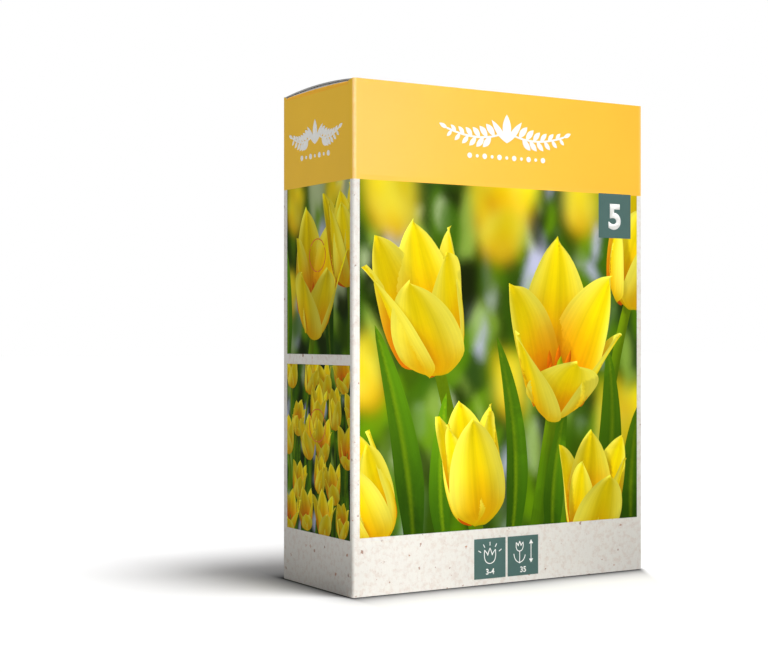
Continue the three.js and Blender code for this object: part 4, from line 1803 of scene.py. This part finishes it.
# %% Ornaments
def garland(half, size):
    """Leaves on a stem that runs out to both sides of a bloom, about the origin."""
    shapes = []
    for side in (-1, 1):
        stem = [(side * x, y) for x, y in curve((2.4, 0.4), (half * 0.5, -3.4), (half, 1.0), 14)]
        shapes += stroke(stem, 0.7)
        for number, (x, y) in enumerate(stem[2:-1]):
            length = size * (1.0 - 0.5 * number / 12)
            up = 1 if number % 2 == 0 else -1
            shapes.append(leaf((x, y), (x + side * length * 0.7, y + up * length * 0.78), length * 0.46,
                               0.25 * up * side))
        end = stem[-1]
        shapes.append(leaf(end, (end[0] + side * size * 0.64, end[1] + size * 0.3), size * 0.28))
    for turn, wide in ((-40, 0.46), (40, 0.46), (0, 0.7)):
        ray = Vector((math.sin(math.radians(turn)), math.cos(math.radians(turn))))
        shapes.append(leaf((0, -2.8), tuple(Vector((0, -2.8)) + ray * size * 1.95), size * wide))
    return shapes


def row_of_dots(count, step):
    middle = (count - 1) / 2
    return [disc((number - middle) * step, 0, 0.62 if number % 2 else 1.0, 20) for number in range(count)]


wide_band, narrow_band = (26.2, 5.4, 164.2, 11, 156.0), (17.0, 4.6, 162.6, 7, 155.6)
for panel, middle, (half, size, garland_z, dots, dots_z) in (
        ("front", 65.4, wide_band), ("back", 64.6, wide_band),
        ("left", 25.0, narrow_band), ("right", depth / MM - 25.0, narrow_band)):
    print_shapes(f"{panel}_garland", garland(half, size), (panel, middle, garland_z), white_ink)
    print_shapes(f"{panel}_dots", row_of_dots(dots, 3.3), (panel, middle, dots_z), white_ink)

# %% [markdown]
# ## Air discs
# Bulbs have to breathe. Each side picture has a ring cut nearly through the board, which leaves a disc
# that can be pushed out. Three short bridges hold it, so the ring is drawn as three arcs.

# %% Air discs
RING_RADIUS, RING_LINE, BRIDGE = 5.9, 0.32, 9.0
ring_middle = SIDE_MARGIN + SIDE_WIDE / 2
for side in ("left", "right"):
    for middle_z, word in ((119.6, "upper"), (58.4, "lower")):
        arcs = []
        for start in (30, 150, 270):
            arcs += ring(0, 0, RING_RADIUS, RING_LINE, start + BRIDGE / 2, start + 120 - BRIDGE / 2, 16)
        print_shapes(f"{side}_{word}_air_ring", arcs, (side, ring_middle, middle_z), cut_orange)

# %% [markdown]
# ## The back
# The photograph doesn't show the back. It gets what the back of such a carton is for, drawn with
# plain signs and figures: how deep to plant, how far apart, which months to plant and to see the
# flowers, how much sun, and a block of bars. Everything is in the same few inks.

# %% Planting signs
bar_ink = make_ink("bar_ink", rgb(46, 44, 42), 0.05)
pale_ink = make_ink("pale_ink", rgb(232, 226, 206), 0.05)
sky_ink = make_ink("sky_ink", rgb(196, 208, 190), 0.05)
sun_ink = make_ink("sun_ink", band_yellow, 0.05)
PLAN_WIDE, PLAN_TALL, PLAN_FOOT, SOIL = 54.0, 42.0, 96.0, 26.0


def bulb_outline(x, y, size):
    """A bulb with its point up, as one outline."""
    shoulder, tip = (x + size * 0.5, y + size * 0.55), (x, y + size * 1.3)
    right = curve((x, y), (x + size * 0.72, y), shoulder, 8)
    right += curve(shoulder, (x + size * 0.36, y + size * 0.95), tip, 8)[1:]
    return right + [(2 * x - px, py) for px, py in right[-2:0:-1]]


def roots(x, y, size):
    shapes = []
    for turn in (-30, -10, 10, 30):
        bends = ((0.03, 0.3), (0.07, -size * 0.3), (0.09, -size * 0.5))
        shapes += stroke([(x + turn * across, y + up) for across, up in bends], 0.35)
    return shapes


def plan(word, left, bulbs, arrow_ends, figure, figure_place):
    """One cut through the bed: soil, bulbs with sprouts, and a double arrow with a figure."""
    place = ("back", left, PLAN_FOOT)
    outlines, sprouts, fibres = [], [], []
    for x, y, size in bulbs:
        outlines.append(bulb_outline(x, y, size))
        fibres += roots(x, y, size)
        for lean, tall in ((-2.4, 7.0), (2.2, 8.0), (0.2, 11.5)):
            sprouts.append(leaf((x, y + size * 1.2), (x + lean, SOIL + tall), 1.0, lean * 0.2))
    soil = [plate(0, 0, PLAN_WIDE, SOIL - 2, 2.4), plate(0, 4, PLAN_WIDE, SOIL)]
    for layer, shapes, material, top in (
            ("sky", [plate(0, 0, PLAN_WIDE, PLAN_TALL, 2.5)], sky_ink, PLATE_TOP),
            ("soil", soil, soil_ink, SIGN_TOP),
            ("sprouts", sprouts, leaf_ink, SPROUT_TOP),
            ("bulbs", outlines, bulb_ink, BULB_TOP),
            ("roots", fibres, pale_ink, SPROUT_TOP),
            ("arrow", arrow(*arrow_ends, 0.5, 2.2), white_ink, ARROW_TOP)):
        print_shapes(f"{word}_{layer}", shapes, place, material, top)
    print_figures(f"{word}_figure", figure, 7.0, figure_place, place, white_ink, ARROW_TOP)


plan("depth", 8.0, [(20, 5, 8.5)], ((37, 5.2), (37, SOIL - 0.6)), "10", (45.5, 12.5))
plan("spacing", 68.0, [(12, 5, 8.5), (42, 5, 8.5)], ((19, 8.4), (35, 8.4)), "8", (27.0, 11.5))

# %% Months and light
MONTH_WIDE, MONTH_TALL = 9.5, 8.5
months_place = ("back", 8.0, 74.0)
PLANTING, FLOWERING = (8, 9, 10), (2, 3)
quiet = [month for month in range(12) if month not in PLANTING + FLOWERING]
for word, months, material in (("quiet", quiet, pale_ink), ("planting", PLANTING, soil_ink),
                               ("flowering", FLOWERING, sun_ink)):
    cells = [plate(month * MONTH_WIDE + 0.3, 0, (month + 1) * MONTH_WIDE - 0.3, MONTH_TALL)
             for month in months]
    print_shapes(f"{word}_months", cells, months_place, material, PLATE_TOP)
for month in range(12):
    print_figures(f"month_{month + 1}", str(month + 1), 4.2, ((month + 0.5) * MONTH_WIDE, 2.7), months_place,
                  white_ink if month in PLANTING else bar_ink)

BADGE, MIDDLE, SUN_RADIUS = 17.0, 8.5, 3.4
sun_place, half_sun_place, height_place = (("back", left, 46.0) for left in (8.0, 28.0, 48.0))
for word, place in (("sun", sun_place), ("half_sun", half_sun_place), ("height", height_place)):
    print_shapes(f"{word}_badge", [plate(0, 0, BADGE, BADGE)], place, badge_green, PLATE_TOP)
rays = rays_round((MIDDLE, MIDDLE), range(0, 360, 45), 4.6, 6.4, 0.5)
half_disc = [(MIDDLE + SUN_RADIUS * math.cos(turn), MIDDLE + SUN_RADIUS * math.sin(turn))
             for turn in np.linspace(-math.pi / 2, math.pi / 2, 20)]
print_shapes("sun_sign", rays + [disc(MIDDLE, MIDDLE, SUN_RADIUS)], sun_place, white_ink)
print_shapes("half_sun_sign", rays + ring(MIDDLE, MIDDLE, SUN_RADIUS, 0.5) + [half_disc], half_sun_place,
             white_ink)
tall_lines = growing_bloom((6.4, 10.4, 3.4), 5.4, (((3.8, 6.2), (3.4, 9.4)), ((8.8, 6.2), (9.2, 8.8))),
                           (12.8, 5.2, 15.0), 0.4, 1.7)
print_shapes("height_sign", tall_lines, height_place, white_ink)
print_figures("height_figures", "35", 3.4, (MIDDLE, 1.4), height_place, white_ink)

draw = random.Random(11)
bars_place = ("back", 85.0, 12.0)
bars, x = [], 3.0
while x < 33.0:
    wide = draw.choice((0.35, 0.35, 0.7, 1.05))
    bars.append(plate(x, 3, x + wide, 19))
    x += wide + draw.choice((0.4, 0.4, 0.75, 1.1))
print_shapes("bar_ground", [plate(0, 0, 37, 22)], bars_place, white_ink, PLATE_TOP)
print_shapes("bars", bars, bars_place, bar_ink)
